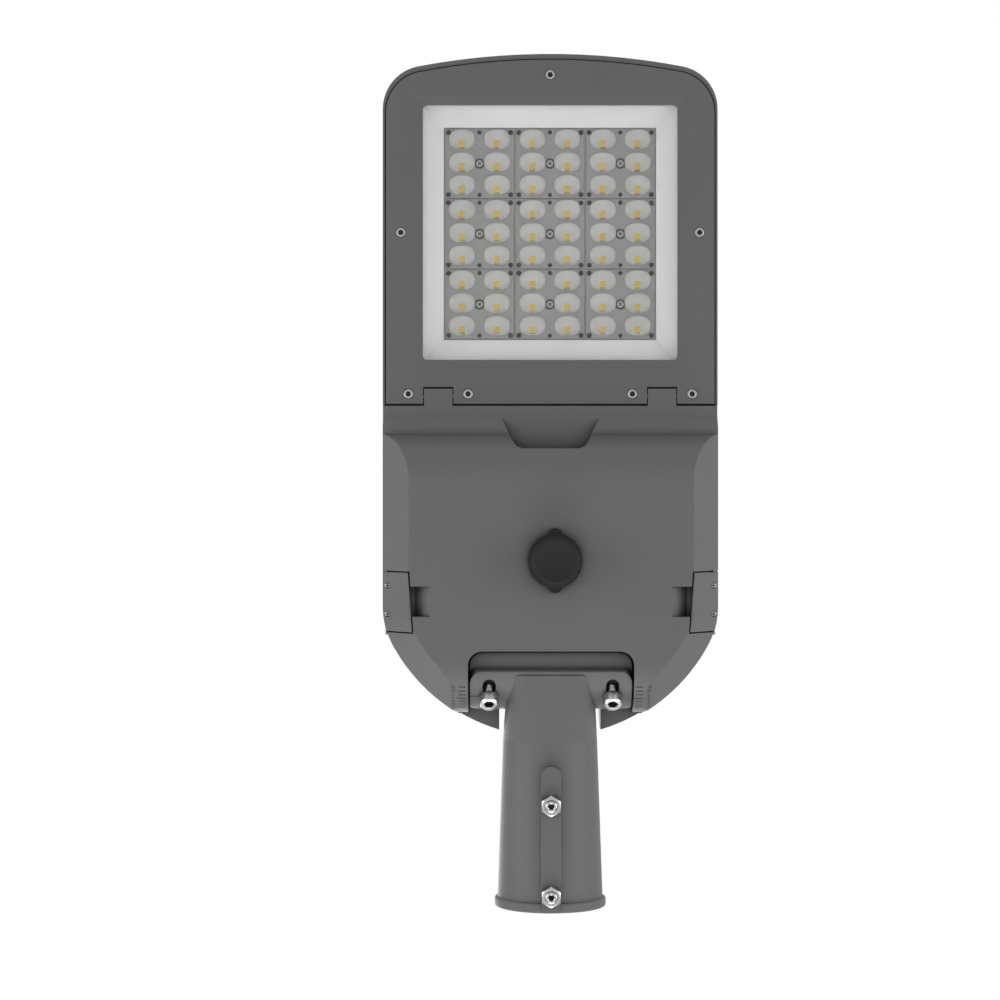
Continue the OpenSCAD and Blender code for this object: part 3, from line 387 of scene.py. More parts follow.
def lens_plate_finish(tone):
    """Frosted plastic, darker at its rim; its screw recess and six small holes are painted shade, dark discs
    that a bump only seems to sink.
    """
    made = Finish("lens_plate_frosted", Specular_IOR_Level=0.45)
    tree = made.tree
    grain = made.group("surface_grain", Fineness=700.0, Tone_Fineness=90.0)
    split = tree.node("ShaderNodeSeparateXYZ", {0: tree.object_place()})
    across = wrapped(tree, split.outputs[0], 0.0, PLATE_PITCH)
    along = wrapped(tree, split.outputs[1], WINDOW_Y, PLATE_PITCH)
    holes = hole_mask(tree, across, along, (0.0, 0.0), 0.0037)
    end_holes = ((0.0, 0.0222), 0.0015)
    corner_holes = ((0.0221, 0.0221), 0.0018)
    for place, radius in (end_holes, corner_holes):
        holes = tree.math("MAXIMUM", holes, hole_mask(tree, across, along, place, radius))
    edge = tree.math("MAXIMUM", tree.math("ABSOLUTE", across), tree.math("ABSOLUTE", along))
    rim = tree.span(edge, 0.0235, 0.0248)
    base = tree.mix(grain["Tone"], shade(tone, 0.92), shade(tone, 1.06))
    rimmed = tree.mix(tree.math("MULTIPLY", rim, 0.35), base, shade(tone, 0.45))
    # Painted shade: the screw recess and six small holes get a near-black colour instead of a cut.
    made.link(tree.mix(holes, rimmed, colour("#1c1c1c")), made.shader.inputs["Base Color"])
    made.roughness(grain["Height"], 0.36, 0.5)
    height = tree.math("SUBTRACT", tree.math("MULTIPLY", grain["Height"], 0.05), holes)
    made.relief(height, 0.0004)
    return made.material


def chip_finish():
    """Yellow phosphor of the LED chips, with a fine grain."""
    made = Finish("led_phosphor", Roughness=0.45)
    grain = made.group("surface_grain", Fineness=2500.0, Tone_Fineness=900.0)
    tone = made.tree.mix(grain["Tone"], colour("#ecc83c"), colour("#fbe27c"))
    made.link(tone, made.shader.inputs["Base Color"])
    made.relief(grain["Height"], 0.00003)
    return made.material


# Meshes

def put_surface(name, parts, finishes, body, smooth_angle=35.0):
    """One piece from (points, faces, finish number) parts.

    Its doubles are merged, its faces point outwards, and it rides on a body.
    """
    points = np.concatenate([part[0] for part in parts])
    starts = np.cumsum([0] + [len(part[0]) for part in parts[:-1]])
    faces = np.concatenate([part[1] + start for part, start in zip(parts, starts)])
    marks = np.concatenate([np.full(len(part[1]), part[2], np.int32) for part in parts])
    mesh = bpy.data.meshes.new(name)
    mesh.from_pydata(points.tolist(), [], faces.tolist())
    mesh.polygons.foreach_set("material_index", marks)
    for finish in finishes:
        mesh.materials.append(finish)
    close_up(mesh)
    mesh.polygons.foreach_set("use_smooth", np.ones(len(mesh.polygons), bool))
    mesh.set_sharp_from_angle(angle=math.radians(smooth_angle))
    made = bpy.data.objects.new(name, mesh)
    bpy.context.scene.collection.objects.link(made)
    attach(made, body)
    return made


def close_up(mesh):
    """Merges the doubles at poles and seams, and turns every face outwards."""
    work = bmesh.new()
    work.from_mesh(mesh)
    bmesh.ops.remove_doubles(work, verts=work.verts, dist=1e-7)
    bmesh.ops.recalc_face_normals(work, faces=work.faces)
    work.to_mesh(mesh)
    work.free()


def ring_faces(rows, columns):
    """Faces between the rows of a grid of points whose last column joins the first."""
    i, j = np.meshgrid(np.arange(rows - 1), np.arange(columns), indexing="ij")
    a = i * columns + j
    b = i * columns + (j + 1) % columns
    return np.stack([a, b, b + columns, a + columns], -1).reshape(-1, 4)


def with_drive(points, rows, columns, drive_rows):
    """A turned part in two finishes: its last drive_rows bands of faces have the second one, which is
    painted shade in the drive.
    """
    faces = ring_faces(rows, columns)
    cut = (rows - 1 - drive_rows) * columns
    return [(points, faces[:cut], 0), (points, faces[cut:], 1)]


def polygon_factor(turn, sides):
    """How much further out a polygon's side lies at a turn than in its middle.

    It is 1 / cos of the angle from the middle of the nearest side.
    """
    step = 2 * np.pi / sides
    return 1 / np.cos(turn % step - step / 2)


def cross_factor(turn, arm, half_wide):
    """Radius of a plus sign at a turn, as a share of its arm.

    It is the least of 1 / max(|cos|, |sin|) and half_wide / arm / min(|cos|, |sin|).
    """
    long = np.maximum(np.abs(np.cos(turn)), np.abs(np.sin(turn)))
    short = np.minimum(np.abs(np.cos(turn)), np.abs(np.sin(turn)))
    return np.minimum(1 / long, half_wide / arm / np.maximum(short, 1e-6))


def turned(rows, turn, factor=None):
    """Heights and radii of a turned part about the Z axis.

    A row is (height, radius, share, limit). Its radius is r * (1 + share * (factor - 1)) and
    never over its limit. The factor is a hexagon's if none is given, so share 0 is a circle
    and share 1 a hexagon with chamfered corners.
    """
    table = np.array(rows, float)
    factor = polygon_factor(turn, 6) if factor is None else factor
    radius = table[:, 1:2] * (1 + table[:, 2:3] * (factor[None, :] - 1))
    return table[:, 0], np.minimum(radius, table[:, 3:4])


def thread_rows(low, high, radius, pitch, turn, depth_share=0.5, per_pitch=8):
    """Heights and radii of a screw thread between two heights.

    The radius is r less depth times a triangle wave of (height / pitch - turn / 2 pi), which
    rises one pitch in each turn. The wave fades out over the last half pitch at each end.
    """
    count = max(3, int((high - low) / pitch * per_pitch))
    height = np.linspace(low, high, count)
    phase = (height[:, None] / pitch - turn[None, :] / (2 * np.pi)) % 1
    wave = 1 - np.abs(2 * phase - 1)
    fade = np.clip(np.minimum(height - low, high - height) / (pitch / 2), 0, 1)
    return height, radius - depth_share * pitch * wave * fade[:, None]


def spun(blocks, turn):
    """Points from blocks of (heights, radii): x = r cos t, y = r sin t, z = height."""
    height = np.concatenate([np.broadcast_to(h[:, None], r.shape) for h, r in blocks])
    radius = np.concatenate([r for h, r in blocks])
    across = radius * np.cos(turn)[None, :]
    along = radius * np.sin(turn)[None, :]
    return np.stack([across, along, height], -1)


def placed(points, axis_x, axis_y, axis_z, origin):
    """Points of a piece's own axes set into the part: origin + x X + y Y + z Z."""
    axes = np.array([axis_x, axis_y, axis_z], float)
    return points.reshape(-1, 3) @ axes + np.array(origin, float)


def squircle(turn, half_long, half_wide, power):
    """Radius at each angle of |x / a| ** n + |y / b| ** n = 1."""
    across = np.abs(np.cos(turn) / half_long) ** power
    along = np.abs(np.sin(turn) / half_wide) ** power
    return (across + along) ** (-1 / power)


def ray_length(distance, slope):
    """distance / slope, or a length past every side where the ray runs along the side."""
    crosses = np.abs(slope) > 1e-9
    return np.where(crosses, distance / np.where(crosses, slope, 1), 9)


def lens_cell(box, centre, settings, low, high):
    """The plate round one dome: a closed ring between the dome's outline and the cell's sides.

    At angle t the inner point is the squircle's, and the outer one is where the ray meets the
    rectangle: the least of the distances to its two sides along the ray.
    """
    corners = [math.atan2(y - centre[1], x - centre[0]) for x in box[0] for y in box[1]]
    turn = np.sort(np.concatenate([np.linspace(-np.pi, np.pi, 44, endpoint=False), corners]))
    cosine = np.cos(turn)
    sine = np.sin(turn)
    side = np.where(cosine > 0, box[0][1] - centre[0], box[0][0] - centre[0])
    end = np.where(sine > 0, box[1][1] - centre[1], box[1][0] - centre[1])
    outer = np.minimum(ray_length(side, cosine), ray_length(end, sine))
    inner = squircle(turn, settings.dome_length / 2, settings.dome_width / 2, settings.roundness)
    lip = 0.0002
    radii = [outer, outer, inner + lip, inner, inner, outer]
    heights = [high, low, low, low + lip, high, high]
    rows = [
        np.stack([centre[0] + r * cosine, centre[1] + r * sine, np.full_like(turn, h)], -1)
        for r, h in zip(radii, heights)
    ]
    return np.stack(rows).reshape(-1, 3), ring_faces(len(rows), len(turn))


def lens_dome(centre, settings, low):
    """One clear dome over its outline, closed by a flat face at its foot.

    Share s of the outline's radius lies at depth h * (1 - s ** 2.4) ** (1 / 2), so that the top
    is nearly flat and the side steep.
    """
    turn = np.linspace(-np.pi, np.pi, 44, endpoint=False)
    rim = squircle(turn, settings.dome_length / 2, settings.dome_width / 2, settings.roundness)
    rim = rim - 0.00005
    share = np.sin(np.linspace(0, np.pi / 2, 12))
    depth = settings.dome_height * np.sqrt(np.clip(1 - share**2.4, 0, 1))
    share = np.concatenate([share, [1.0, 0.5, 0.0]])
    depth = np.concatenate([depth, [-0.0006, -0.0006, -0.0006]])
    across = centre[0] + share[:, None] * rim * np.cos(turn)
    along = centre[1] + share[:, None] * rim * np.sin(turn)
    height = np.broadcast_to((low - depth)[:, None], across.shape)
    return np.stack([across, along, height], -1).reshape(-1, 3), ring_faces(len(share), len(turn))


def screw_rows(long, shank, head, head_tall, drive, drive_deep):
    """Rows of a low round-headed screw from its tip to its drive, which has share 1."""
    return [
        (0, 0, 0, 1), (0, shank - 0.0004, 0, 1), (0.0004, shank, 0, 1),
        (long - head_tall, shank, 0, 1),
        (long - head_tall, head - 0.0001, 0, 1), (long - head_tall + 0.0001, head, 0, 1),
        (long - head_tall * 0.35, head, 0, 1), (long - head_tall * 0.1, head - 0.00018, 0, 1),
        (long, head - 0.0006, 0, 1), (long, drive * 1.16 + 0.0001, 0, 1),
        (long - 0.0001, drive, 1, drive * 1.14), (long - drive_deep, drive, 1, drive * 1.1),
        (long - drive_deep - 0.0002, 0, 0, 1),
    ]


def tick_bar(long, wide, thick):
    """Points and faces of a flat bar, centred on its foot."""
    foot = np.array([(-1, -1), (1, -1), (1, 1), (-1, 1)]) / 2
    points = np.concatenate([np.insert(foot, 2, height, 1) for height in (0, 1)]) * (long, wide, thick)
    sides = [(i, (i + 1) % 4, (i + 1) % 4 + 4, i + 4) for i in range(4)]
    return points, [*sides, (4, 5, 6, 7), (3, 2, 1, 0)]


def written(text, height):
    """Points and faces of a short number, centred, as thick as a print film."""
    curve = bpy.data.curves.new("number", "FONT")
    curve.body = text
    curve.size = height * 1.35
    curve.extrude = 0.00005
    curve.align_x = "CENTER"
    curve.align_y = "CENTER"
    holder = bpy.data.objects.new("number", curve)
    bpy.context.scene.collection.objects.link(holder)
    bpy.context.view_layer.update()
    mesh = bpy.data.meshes.new_from_object(holder)
    points = np.zeros(len(mesh.vertices) * 3)
    mesh.vertices.foreach_get("co", points)
    faces = [tuple(face.vertices) for face in mesh.polygons]
    bpy.data.objects.remove(holder)
    bpy.data.meshes.remove(mesh)
    return points.reshape(-1, 3), faces


def middle_of(node):
    """Where the middle of a node's box lies across and along the light."""
    low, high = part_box(node)
    return (low.x + high.x) / 2, (low.y + high.y) / 2


def seat_axes(degrees):
    """Unit vectors out of the tilt seat and up along it, at an angle from straight down."""
    angle = math.radians(degrees)
    outward = np.array([0, -math.sin(angle), -math.cos(angle)])
    upward = np.array([0, math.cos(angle), -math.sin(angle)])
    return outward, upward


def body_of(node):
    """The CAD body that a node rides on."""
    bodies = frame["record"]["behaviour"]["bodies"]
    return next(body for body, nodes in bodies.items() if node in nodes)


# Operators

class CameraOperator(bpy.types.Operator):
    """Set the camera straight below the light"""

    bl_idname = "streetlight.camera"
    bl_label = "Camera"

    def execute(self, context):
        settings = context.scene.light_stage
        data = bpy.data.cameras.new("camera")
        data.lens = settings.lens
        data.sensor_width = 36
        data.clip_end = 50
        made = bpy.data.objects.new("camera", data)
        made.location = settings.camera
        made.rotation_euler = (0, math.pi, 0)
        context.scene.collection.objects.link(made)
        context.scene.camera = made
        return {"FINISHED"}


class PaintOperator(bpy.types.Operator):
    """Give every solid of the part its finish"""

    bl_idname = "streetlight.paint"
    bl_label = "Finishes"

    def execute(self, context):
        paint = context.scene.light_paint
        zinc = context.scene.light_fasteners.zinc
        grain_group()
        edge_group()
        body = powder_coat("powder_coat_body", paint.body, paint)
        window_frame = powder_coat("powder_coat_frame", paint.window_frame, paint)
        metal("zinc_plate", zinc, 0.26)
        steel = metal("screw_steel", colour("#a9a9a9"), 0.34)
        metal("bright_screw", colour("#c9c9c9"), 0.3)
        # Painted shade: the drives of the screws and bolts get this dark finish for the shade inside their
        # sockets.
        moulded("drive_painted_shade", colour("#2a2a2a"), 0.5, 0.00001, 2500.0, 0.0001)
        sheet_steel = metal("galvanised_sheet", colour("#b4b6b8"), 0.42, fineness=90.0)
        brass = metal("earth_brass", colour("#c9a55a"), 0.3)
        rubber = moulded("seal_rubber", colour("#1d1d1d"), 0.75, 0.00003)
        black = moulded("cap_plastic", context.scene.light_cap.body, 0.5, shine=0.16)
        board = moulded("board_white", colour("#f0f0ee"), 0.42, 0.00001)
        tray_white = moulded("driver_white", colour("#dcdcd8"), 0.5)
        grey = moulded("grey_plastic", colour("#8c9093"), 0.5)
        reflector = moulded("reflector_white", colour("#eeeeee"), 0.55, 0.00002, 900.0)
        chips = chip_finish()
        glass = clear("window_glass", colour("#fafafa"), 0.02, colour("#f6f6f6"))
        finishes = {
            body: ["spigot", "housing", "door", "latch_left", "latch_right"],
            window_frame: ["glass_frame"],
            steel: [
                "frame_screws", "lens_screws", "latch_screws_left", "latch_screws_right",
                "hinge_pin_left", "hinge_pin_right", "latch_pin_left", "latch_pin_right",
                "latch_hook_left", "latch_hook_right",
                "tray_screws", "driver_screws", "clamp_screws",
            ],
            sheet_steel: ["gear_tray"],
            brass: ["earth_screw"],
            rubber: ["glass_gasket", "frame_gasket", "door_gasket", "socket_gasket"],
            black: ["sensor_socket", "socket_nut", "lead_gland", "breather"],
            board: ["led_board"],
            tray_white: ["driver"],
            grey: ["surge_protector", "terminal_block", "cable_clamp"],
            reflector: ["reflector"],
            chips: ["led_chips"],
            glass: ["glass"],
        }
        for finish, nodes in finishes.items():
            for name in nodes:
                mesh = frame["nodes"][name].data
                mesh.materials.clear()
                mesh.materials.append(finish)
        return {"FINISHED"}


class LensOperator(bpy.types.Operator):
    """Make the nine frosted lens plates with their clear domes"""

    bl_idname = "streetlight.lenses"
    bl_label = "Lens plates"

    def execute(self, context):
        settings = context.scene.light_lens
        plate = lens_plate_finish(settings.plate)
        dome = clear("lens_dome_clear", settings.dome, 0.05, colour("#e4e4e4"), 900.0, 0.00001)
        half = 0.0248
        columns = ((-half, 0.0), (0.0, half))
        rows = ((-half, -0.0073), (-0.0073, 0.009), (0.009, half))
        places = [(x, y) for x in (-0.01235, 0.01235) for y in (-0.0153, 0.0008, 0.0171)]
        cells = [(x, y) for x in columns for y in rows]
        face = 0.006
        for number in range(1, 10):
            low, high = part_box(f"lens_module_{number}")
            middle = np.array([(low.x + high.x) / 2, (low.y + high.y) / 2])
            parts = []
            for (cell_x, cell_y), place in zip(cells, places):
                box = (np.array(cell_x) + middle[0], np.array(cell_y) + middle[1])
                centre = middle + np.array(place)
                points, faces = lens_cell(box, centre, settings, face, high.z - 0.0001)
                parts.append((points, faces, 0))
                points, faces = lens_dome(centre, settings, face)
                parts.append((points, faces, 1))
            made = put_surface(f"lens_plate_{number}", parts, [plate, dome], "head")
            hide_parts(f"lens_module_{number}")
        return {"FINISHED"}


class CapOperator(bpy.types.Operator):
    """Make the dust cap with its grip ring and dished end"""

    bl_idname = "streetlight.cap"
    bl_label = "Dust cap"

    def execute(self, context):
        settings = context.scene.light_cap
        low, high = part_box("dust_cap")
        middle = ((low.x + high.x) / 2, (low.y + high.y) / 2, low.z + settings.reach)
        ring = settings.ring / 2 / MM
        disc = settings.disc / 2 / MM
        reach = settings.reach / MM
        top = (middle[2] - high.z) / MM
        foot = 4.5
        rows = [
            (top, 0), (top, 11.0), (top + 0.5, 11.5), (foot, 11.5), (foot, ring - 0.6),
            (foot + 0.2, ring - 0.2), (foot + 0.6, ring), (foot + 4.4, ring),
            (foot + 4.8, ring - 0.2), (foot + 5, ring - 0.6), (foot + 5, ring - 1.1),
            (foot + 5.3, ring - 1.3),
            (reach - 1.4, disc + 0.25), (reach - 0.7, disc - 0.02), (reach - 0.25, disc - 0.35),
            (reach, disc - 1.0), (reach, disc - 2.0), (reach - 0.25, disc - 2.4), (reach - 0.25, 0),
        ]
        columns = 120
        ribs = 30
        turn = np.linspace(0, 2 * np.pi, columns, endpoint=False)
        table = [(height * MM, radius * MM, 0, 1) for height, radius in rows]
        heights, radii = turned(table, turn)
        grip = (heights > (foot + 0.5) * MM) & (heights < (foot + 4.5) * MM)
        groove = 0.00025 * (np.cos(ribs * turn) - 1) / 2
        radii = radii + grip[:, None] * groove[None, :]
        points = placed(spun([(heights, radii)], turn), (1, 0, 0), (0, -1, 0), (0, 0, -1), middle)
        finish = bpy.data.materials["cap_plastic"]
        parts = [(points, ring_faces(len(rows), columns), 0)]
        made = put_surface("cap_body", parts, [finish], "cap")
        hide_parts("dust_cap")
        return {"FINISHED"}


class ClampBoltOperator(bpy.types.Operator):
    """Make the two clamp bolts with ribbed heads, hexagon sockets and threads"""

    bl_idname = "streetlight.clamp_bolts"
    bl_label = "Clamp bolts"

    def execute(self, context):
        settings = context.scene.light_fasteners
        turn = np.linspace(0, 2 * np.pi, settings.ribs * 6, endpoint=False)
        head = settings.head / 2
        tall = settings.head_height
        shank = settings.thread / 2
        ribs = 0.00011 * (np.cos(settings.ribs * turn) - 1)
        lower = turned([(-0.0241, 0, 0, 1), (-0.0241, shank - 0.0006, 0, 1)], turn)
        screw = thread_rows(-0.0236, -0.0005, shank, settings.pitch, turn)
        base = turned([(0, shank, 0, 1), (0, head - 0.0004, 0, 1)], turn)
        side_rows = [(0.0003, head, 0, 1), (tall - 0.0011, head, 0, 1)]
        side = turned(side_rows, turn)
        side = (side[0], side[1] + ribs[None, :])
        upper_rows = [
            (tall - 0.0007, head - 0.0002, 0, 1), (tall - 0.0002, head - 0.0006, 0, 1),
            (tall, head - 0.0011, 0, 1), (tall, 0.0038, 0, 1), (tall - 0.0005, 0.003, 1, 0.0035),
            (tall - 0.004, 0.003, 1, 1), (tall - 0.0046, 0, 0, 1),
        ]
        blocks = [lower, screw, base, side, turned(upper_rows, turn)]
        points = spun(blocks, turn)
        outward, upward = seat_axes(SCALE_MIDDLE)
        seat = TILT_AXIS + outward * 0.0383
        parts = []
        for x in (-0.043, 0.043):
            set_in = placed(points, (-1, 0, 0), upward, outward, seat + (x, 0, 0))
            parts += with_drive(set_in, len(points), len(turn), 2)
        # The second finish is the painted shade inside the drives.
        finishes = [bpy.data.materials["zinc_plate"], bpy.data.materials["drive_painted_shade"]]
        made = put_surface("clamp_bolts", parts, finishes, body_of("spigot_bolts"), 28)
        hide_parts("spigot_bolts")
        return {"FINISHED"}


class SetScrewOperator(bpy.types.Operator):
    """Make the threaded set screws and their chamfered lock nuts"""

    bl_idname = "streetlight.set_screws"
    bl_label = "Set screws"

    def execute(self, context):
        settings = context.scene.light_fasteners
        shank = settings.thread / 2
        turn = np.linspace(0, 2 * np.pi, 72, endpoint=False)
        low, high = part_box("set_screws")
        long = high.z - low.z
        foot = turned([(0, 0, 0, 1), (0, shank - 0.0008, 0, 1)], turn)
        screw = thread_rows(0.0004, long - 0.0004, shank, settings.pitch, turn)
        end_rows = [
            (long, shank - 0.0007, 0, 1), (long, 0.0025, 0, 1), (long - 0.0003, 0.002, 1, 0.0023),
            (long - 0.0035, 0.002, 1, 1), (long - 0.004, 0, 0, 1),
        ]
        points = spun([foot, screw, turned(end_rows, turn)], turn)
        nut_low, nut_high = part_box("lock_nuts")
        tall = nut_high.z - nut_low.z
        flat = 0.0065
        bore = shank + 0.00005
        chamfer = [
            (0.0, 0.0062), (0.0002, 0.00655), (0.0004, 0.0069), (0.0006, 0.00724), (0.0008, 0.0076),
        ]
        rows = [(tall - 0.0006, bore, 0, 1), (tall, bore + 0.0005, 0, 1)]
        rows += [(tall - drop, flat, 1, limit) for drop, limit in chamfer]
        rows += [(drop, flat, 1, limit) for drop, limit in reversed(chamfer)]
        rows += [(0, bore, 0, 1), (tall - 0.0006, bore, 0, 1)]
        nut = spun([turned(rows, turn)], turn)
        nut_faces = ring_faces(len(rows), len(turn))
        screws = []
        nuts = []
        for y in (0.012, 0.075):
            set_in = placed(points, (1, 0, 0), (0, -1, 0), (0, 0, -1), (0, y, high.z))
            screws += with_drive(set_in, len(points), len(turn), 2)
            set_in = placed(nut, (0, 1, 0), (1, 0, 0), (0, 0, -1), (0, y, nut_high.z))
            nuts.append((set_in, nut_faces, 0))
        # The second finish is the painted shade inside the drives.
        finishes = [bpy.data.materials["zinc_plate"], bpy.data.materials["drive_painted_shade"]]
        pieces = (("set_screw_pair", screws, "set_screws"), ("lock_nut_pair", nuts, "lock_nuts"))
        for name, parts, node in pieces:
            made = put_surface(name, parts, finishes, "spigot_body", 25)
            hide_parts(node)
        return {"FINISHED"}


class SmallScrewOperator(bpy.types.Operator):
    """Make the screws of the frame, the lens plates and the latches, with open drives"""

    bl_idname = "streetlight.small_screws"
    bl_label = "Small screws"

    def execute(self, context):
        low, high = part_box("frame_screws")
        head = 0.00335
        side = high.x - head
        rear = low.y + head
        places = [(0, high.y - head), (side, middle_of("glass")[1]), (-side, middle_of("glass")[1])]
        places += [(x, rear) for x in (side - 0.0053, 0.0053 - side, 0.058, -0.058)]
        sizes = {"head": head, "shank": 0.002, "head_tall": 0.0018, "drive": 0.0018, "drive_deep": 0.0014}
        self.make("frame_screw_set", "frame_screws", places, sizes, None)
        places = [middle_of(f"lens_module_{number}") for number in range(1, 10)]
        turn = np.linspace(0, 2 * np.pi, 72, endpoint=False)
        cross = cross_factor(turn + np.pi / 4, 0.0014, 0.00036)
        sizes = {
            "head": 0.00255, "shank": 0.0015, "head_tall": 0.0017, "drive": 0.0014, "drive_deep": 0.0008,
        }
        self.make("lens_screw_set", "lens_screws", places, sizes, cross)
        for name in ("left", "right"):
            node = f"latch_screws_{name}"
            low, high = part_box(node)
            head = (high.x - low.x) / 2
            across = middle_of(node)[0]
            places = [(across, low.y + head), (across, high.y - head)]
            drive = head * 0.6
            cross = cross_factor(turn, drive, 0.0003)
            sizes = {"head": head, "shank": 0.001, "head_tall": 0.0012, "drive": drive, "drive_deep": 0.0008}
            self.make(f"latch_screw_set_{name}", node, places, sizes, cross)
        return {"FINISHED"}

    def make(self, name, node, places, sizes, cross):
        """Like screws at several places, in the height of the node that they replace."""
        low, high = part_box(node)
        turn = np.linspace(0, 2 * np.pi, 72, endpoint=False)
        rows = screw_rows(high.z - low.z, **sizes)
        points = spun([turned(rows, turn, cross)], turn)
        parts = []
        for x, y in places:
            set_in = placed(points, (1, 0, 0), (0, -1, 0), (0, 0, -1), (x, y, high.z))
            parts += with_drive(set_in, len(rows), len(turn), 2)
        # The second finish is the painted shade inside the drives.
        finishes = [bpy.data.materials["bright_screw"], bpy.data.materials["drive_painted_shade"]]
        made = put_surface(name, parts, finishes, body_of(node), 28)
        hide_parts(node)


class NumberOperator(bpy.types.Operator):
    """Print the degrees beside the tilt scale on the door's round tail"""

    bl_idname = "streetlight.numbers"
    bl_label = "Tilt numbers"

    def execute(self, context):
        settings = context.scene.light_scale
        number_x = 0.0684
        number_radius = 0.04
        tick_radius = 0.03968
        parts = []
        for side in (-1, 1):
            for mark in range(-3, 4):
                outward, upward = seat_axes(SCALE_MIDDLE + settings.step * mark)
                points, faces = written(str(abs(mark) * settings.step), settings.height)
                origin = TILT_AXIS + (side * number_x, 0, 0) + outward * number_radius
                parts.append((placed(points, (-1, 0, 0), upward, outward, origin), faces))
                long = 0.0064 if mark == 0 else 0.005
                points, faces = tick_bar(long - 0.0002, 0.00056, 0.00008)
                start = 0.0592 if side > 0 else -0.0642
                origin = TILT_AXIS + (start + long / 2, 0, 0) + outward * tick_radius
                parts.append((placed(points, (-1, 0, 0), upward, outward, origin), faces))
        points = np.concatenate([part[0] for part in parts])
        starts = np.cumsum([0] + [len(part[0]) for part in parts[:-1]])
        faces = [tuple(i + start for i in f) for part, start in zip(parts, starts) for f in part[1]]
        mesh = bpy.data.meshes.new("scale_numbers")
        mesh.from_pydata(points.tolist(), [], faces)
        mesh.materials.append(moulded("number_ink", colour("#262626"), 0.6))
        made = bpy.data.objects.new("scale_numbers", mesh)
        context.scene.collection.objects.link(made)
        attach(made, "gear_door")
        return {"FINISHED"}


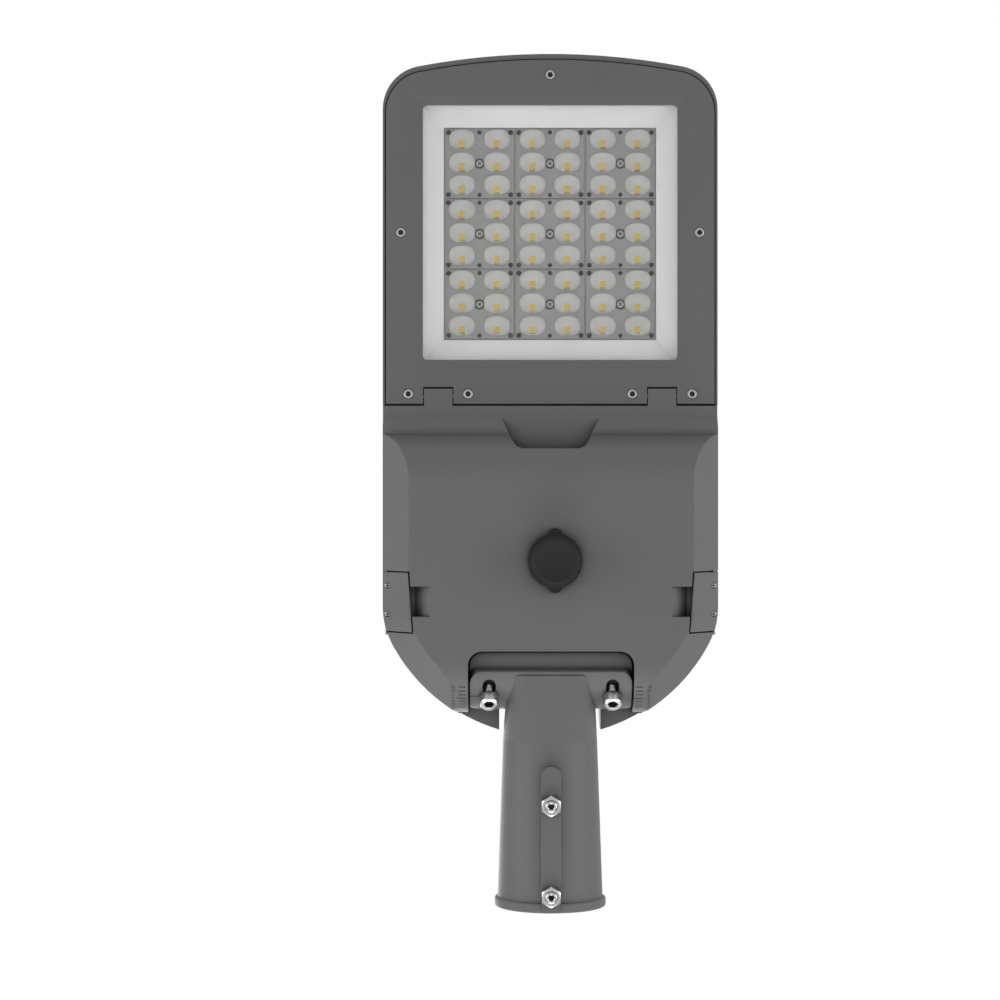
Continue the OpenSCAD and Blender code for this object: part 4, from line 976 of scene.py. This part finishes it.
class StageOperator(bpy.types.Operator):
    """Set the floor, the soft lights and the white room"""

    bl_idname = "streetlight.stage"
    bl_label = "Stage"

    def execute(self, context):
        settings = context.scene.light_stage
        context.scene.view_settings.view_transform = "Standard"
        self.floor(settings.floor_drop)
        self.lamp("side_light_left", (-0.95, 0.3, -0.42), 0.9, settings.side_light)
        self.lamp("side_light_right", (0.95, 0.3, -0.42), 0.9, settings.side_light)
        self.lamp("tail_light", (0.0, -0.75, -0.5), 0.9, settings.tail_light)
        self.lamp("front_light", (0.0, 1.7, -0.45), 0.9, settings.front_light)
        self.lamp("top_light", (0.5, -0.5, 1.5), 1.4, settings.top_light)
        self.room(context.scene, settings.room)
        return {"FINISHED"}

    def lamp(self, name, place, size, power):
        data = bpy.data.lights.new(name, "AREA")
        data.shape = "DISK"
        data.size = size
        data.energy = power
        made = bpy.data.objects.new(name, data)
        made.location = place
        aim = made.location.copy()
        aim.y -= 0.3
        made.rotation_euler = aim.to_track_quat("Z", "Y").to_euler()
        made.visible_camera = False
        bpy.context.scene.collection.objects.link(made)

    def floor(self, drop):
        turn = np.linspace(0, 2 * np.pi, 96, endpoint=False)
        radius = np.array([[0.0], [1.0], [6.0]]) * np.ones(96)
        points = spun([(np.full(3, -drop), radius)], turn).reshape(-1, 3)
        mesh = bpy.data.meshes.new("floor")
        mesh.from_pydata(points.tolist(), [], ring_faces(3, 96)[:, ::-1].tolist())
        mesh.materials.append(self.floor_finish())
        made = bpy.data.objects.new("floor", mesh)
        bpy.context.scene.collection.objects.link(made)

    def floor_finish(self):
        """Pale matt floor, which keeps its shadows and can't be seen from below."""
        made = Finish("floor_pale", Base_Color=colour("#e9e9e7"), Roughness=0.8)
        made.shader.inputs["Specular IOR Level"].default_value = 0.1
        clear_side = made.tree.node("ShaderNodeBsdfTransparent")
        white = made.tree.node("ShaderNodeEmission", {"Color": colour("#f6f6f4"), "Strength": 1.0})
        seen = made.tree.node("ShaderNodeLightPath").outputs["Is Camera Ray"]
        pale = made.tree.node("ShaderNodeMixShader", {0: made.tree.math("MULTIPLY", seen, 0.6)})
        made.link(made.shader.outputs[0], pale.inputs[1])
        made.link(white.outputs[0], pale.inputs[2])
        behind = made.tree.node("ShaderNodeNewGeometry").outputs["Backfacing"]
        both = made.tree.node("ShaderNodeMixShader", {0: behind})
        made.link(pale.outputs[0], both.inputs[1])
        made.link(clear_side.outputs[0], both.inputs[2])
        made.link(both.outputs[0], made.out.inputs[0])
        return made.material

    def room(self, scene, strength):
        world = bpy.data.worlds.new("room")
        scene.world = world
        world.use_nodes = True
        world.node_tree.nodes.clear()
        tree = Tree(world.node_tree)
        path = tree.node("ShaderNodeLightPath").outputs
        seen = tree.math("MAXIMUM", path["Is Camera Ray"], path["Is Transmission Ray"])
        seen = tree.math("MAXIMUM", seen, tree.math("MULTIPLY", path["Is Glossy Ray"], 0.8))
        even = tree.node("ShaderNodeBackground", {"Color": (1, 1, 1, 1), "Strength": strength})
        white = tree.node("ShaderNodeBackground", {"Color": (1, 1, 1, 1), "Strength": 1.0})
        both = tree.node("ShaderNodeMixShader", {0: seen})
        out = tree.node("ShaderNodeOutputWorld")
        tree.tree.links.new(even.outputs[0], both.inputs[1])
        tree.tree.links.new(white.outputs[0], both.inputs[2])
        tree.tree.links.new(both.outputs[0], out.inputs[0])


STEPS = (
    CameraOperator,
    PaintOperator,
    LensOperator,
    CapOperator,
    ClampBoltOperator,
    SetScrewOperator,
    SmallScrewOperator,
    NumberOperator,
    StageOperator,
)
SETTINGS = {
    "light_paint": PaintSettings,
    "light_lens": LensSettings,
    "light_fasteners": FastenerSettings,
    "light_cap": CapSettings,
    "light_scale": ScaleSettings,
    "light_stage": StageSettings,
}


class StreetLightPanel(bpy.types.Panel):
    """Sizes, colours and steps of the street light"""

    bl_idname = "STREETLIGHT_PT_panel"
    bl_label = "Street Light"
    bl_space_type = "VIEW_3D"
    bl_region_type = "UI"
    bl_category = "Street Light"

    def draw(self, context):
        for key, kind in SETTINGS.items():
            box = self.layout.box()
            for name in kind.__annotations__:
                box.prop(getattr(context.scene, key), name)
        for step in STEPS:
            self.layout.operator(step.bl_idname)


def register():
    for kind in (*SETTINGS.values(), *STEPS, StreetLightPanel):
        bpy.utils.register_class(kind)
    for key, kind in SETTINGS.items():
        setattr(bpy.types.Scene, key, bpy.props.PointerProperty(type=kind))


def unregister():
    for key in SETTINGS:
        delattr(bpy.types.Scene, key)
    for kind in (StreetLightPanel, *reversed(STEPS), *reversed(list(SETTINGS.values()))):
        bpy.utils.unregister_class(kind)


def main():
    """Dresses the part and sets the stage."""
    register()
    bpy.ops.streetlight.camera()
    bpy.ops.streetlight.paint()
    bpy.ops.streetlight.lenses()
    bpy.ops.streetlight.cap()
    bpy.ops.streetlight.clamp_bolts()
    bpy.ops.streetlight.set_screws()
    bpy.ops.streetlight.small_screws()
    bpy.ops.streetlight.numbers()
    bpy.ops.streetlight.stage()


if __name__ == "__main__":
    main()
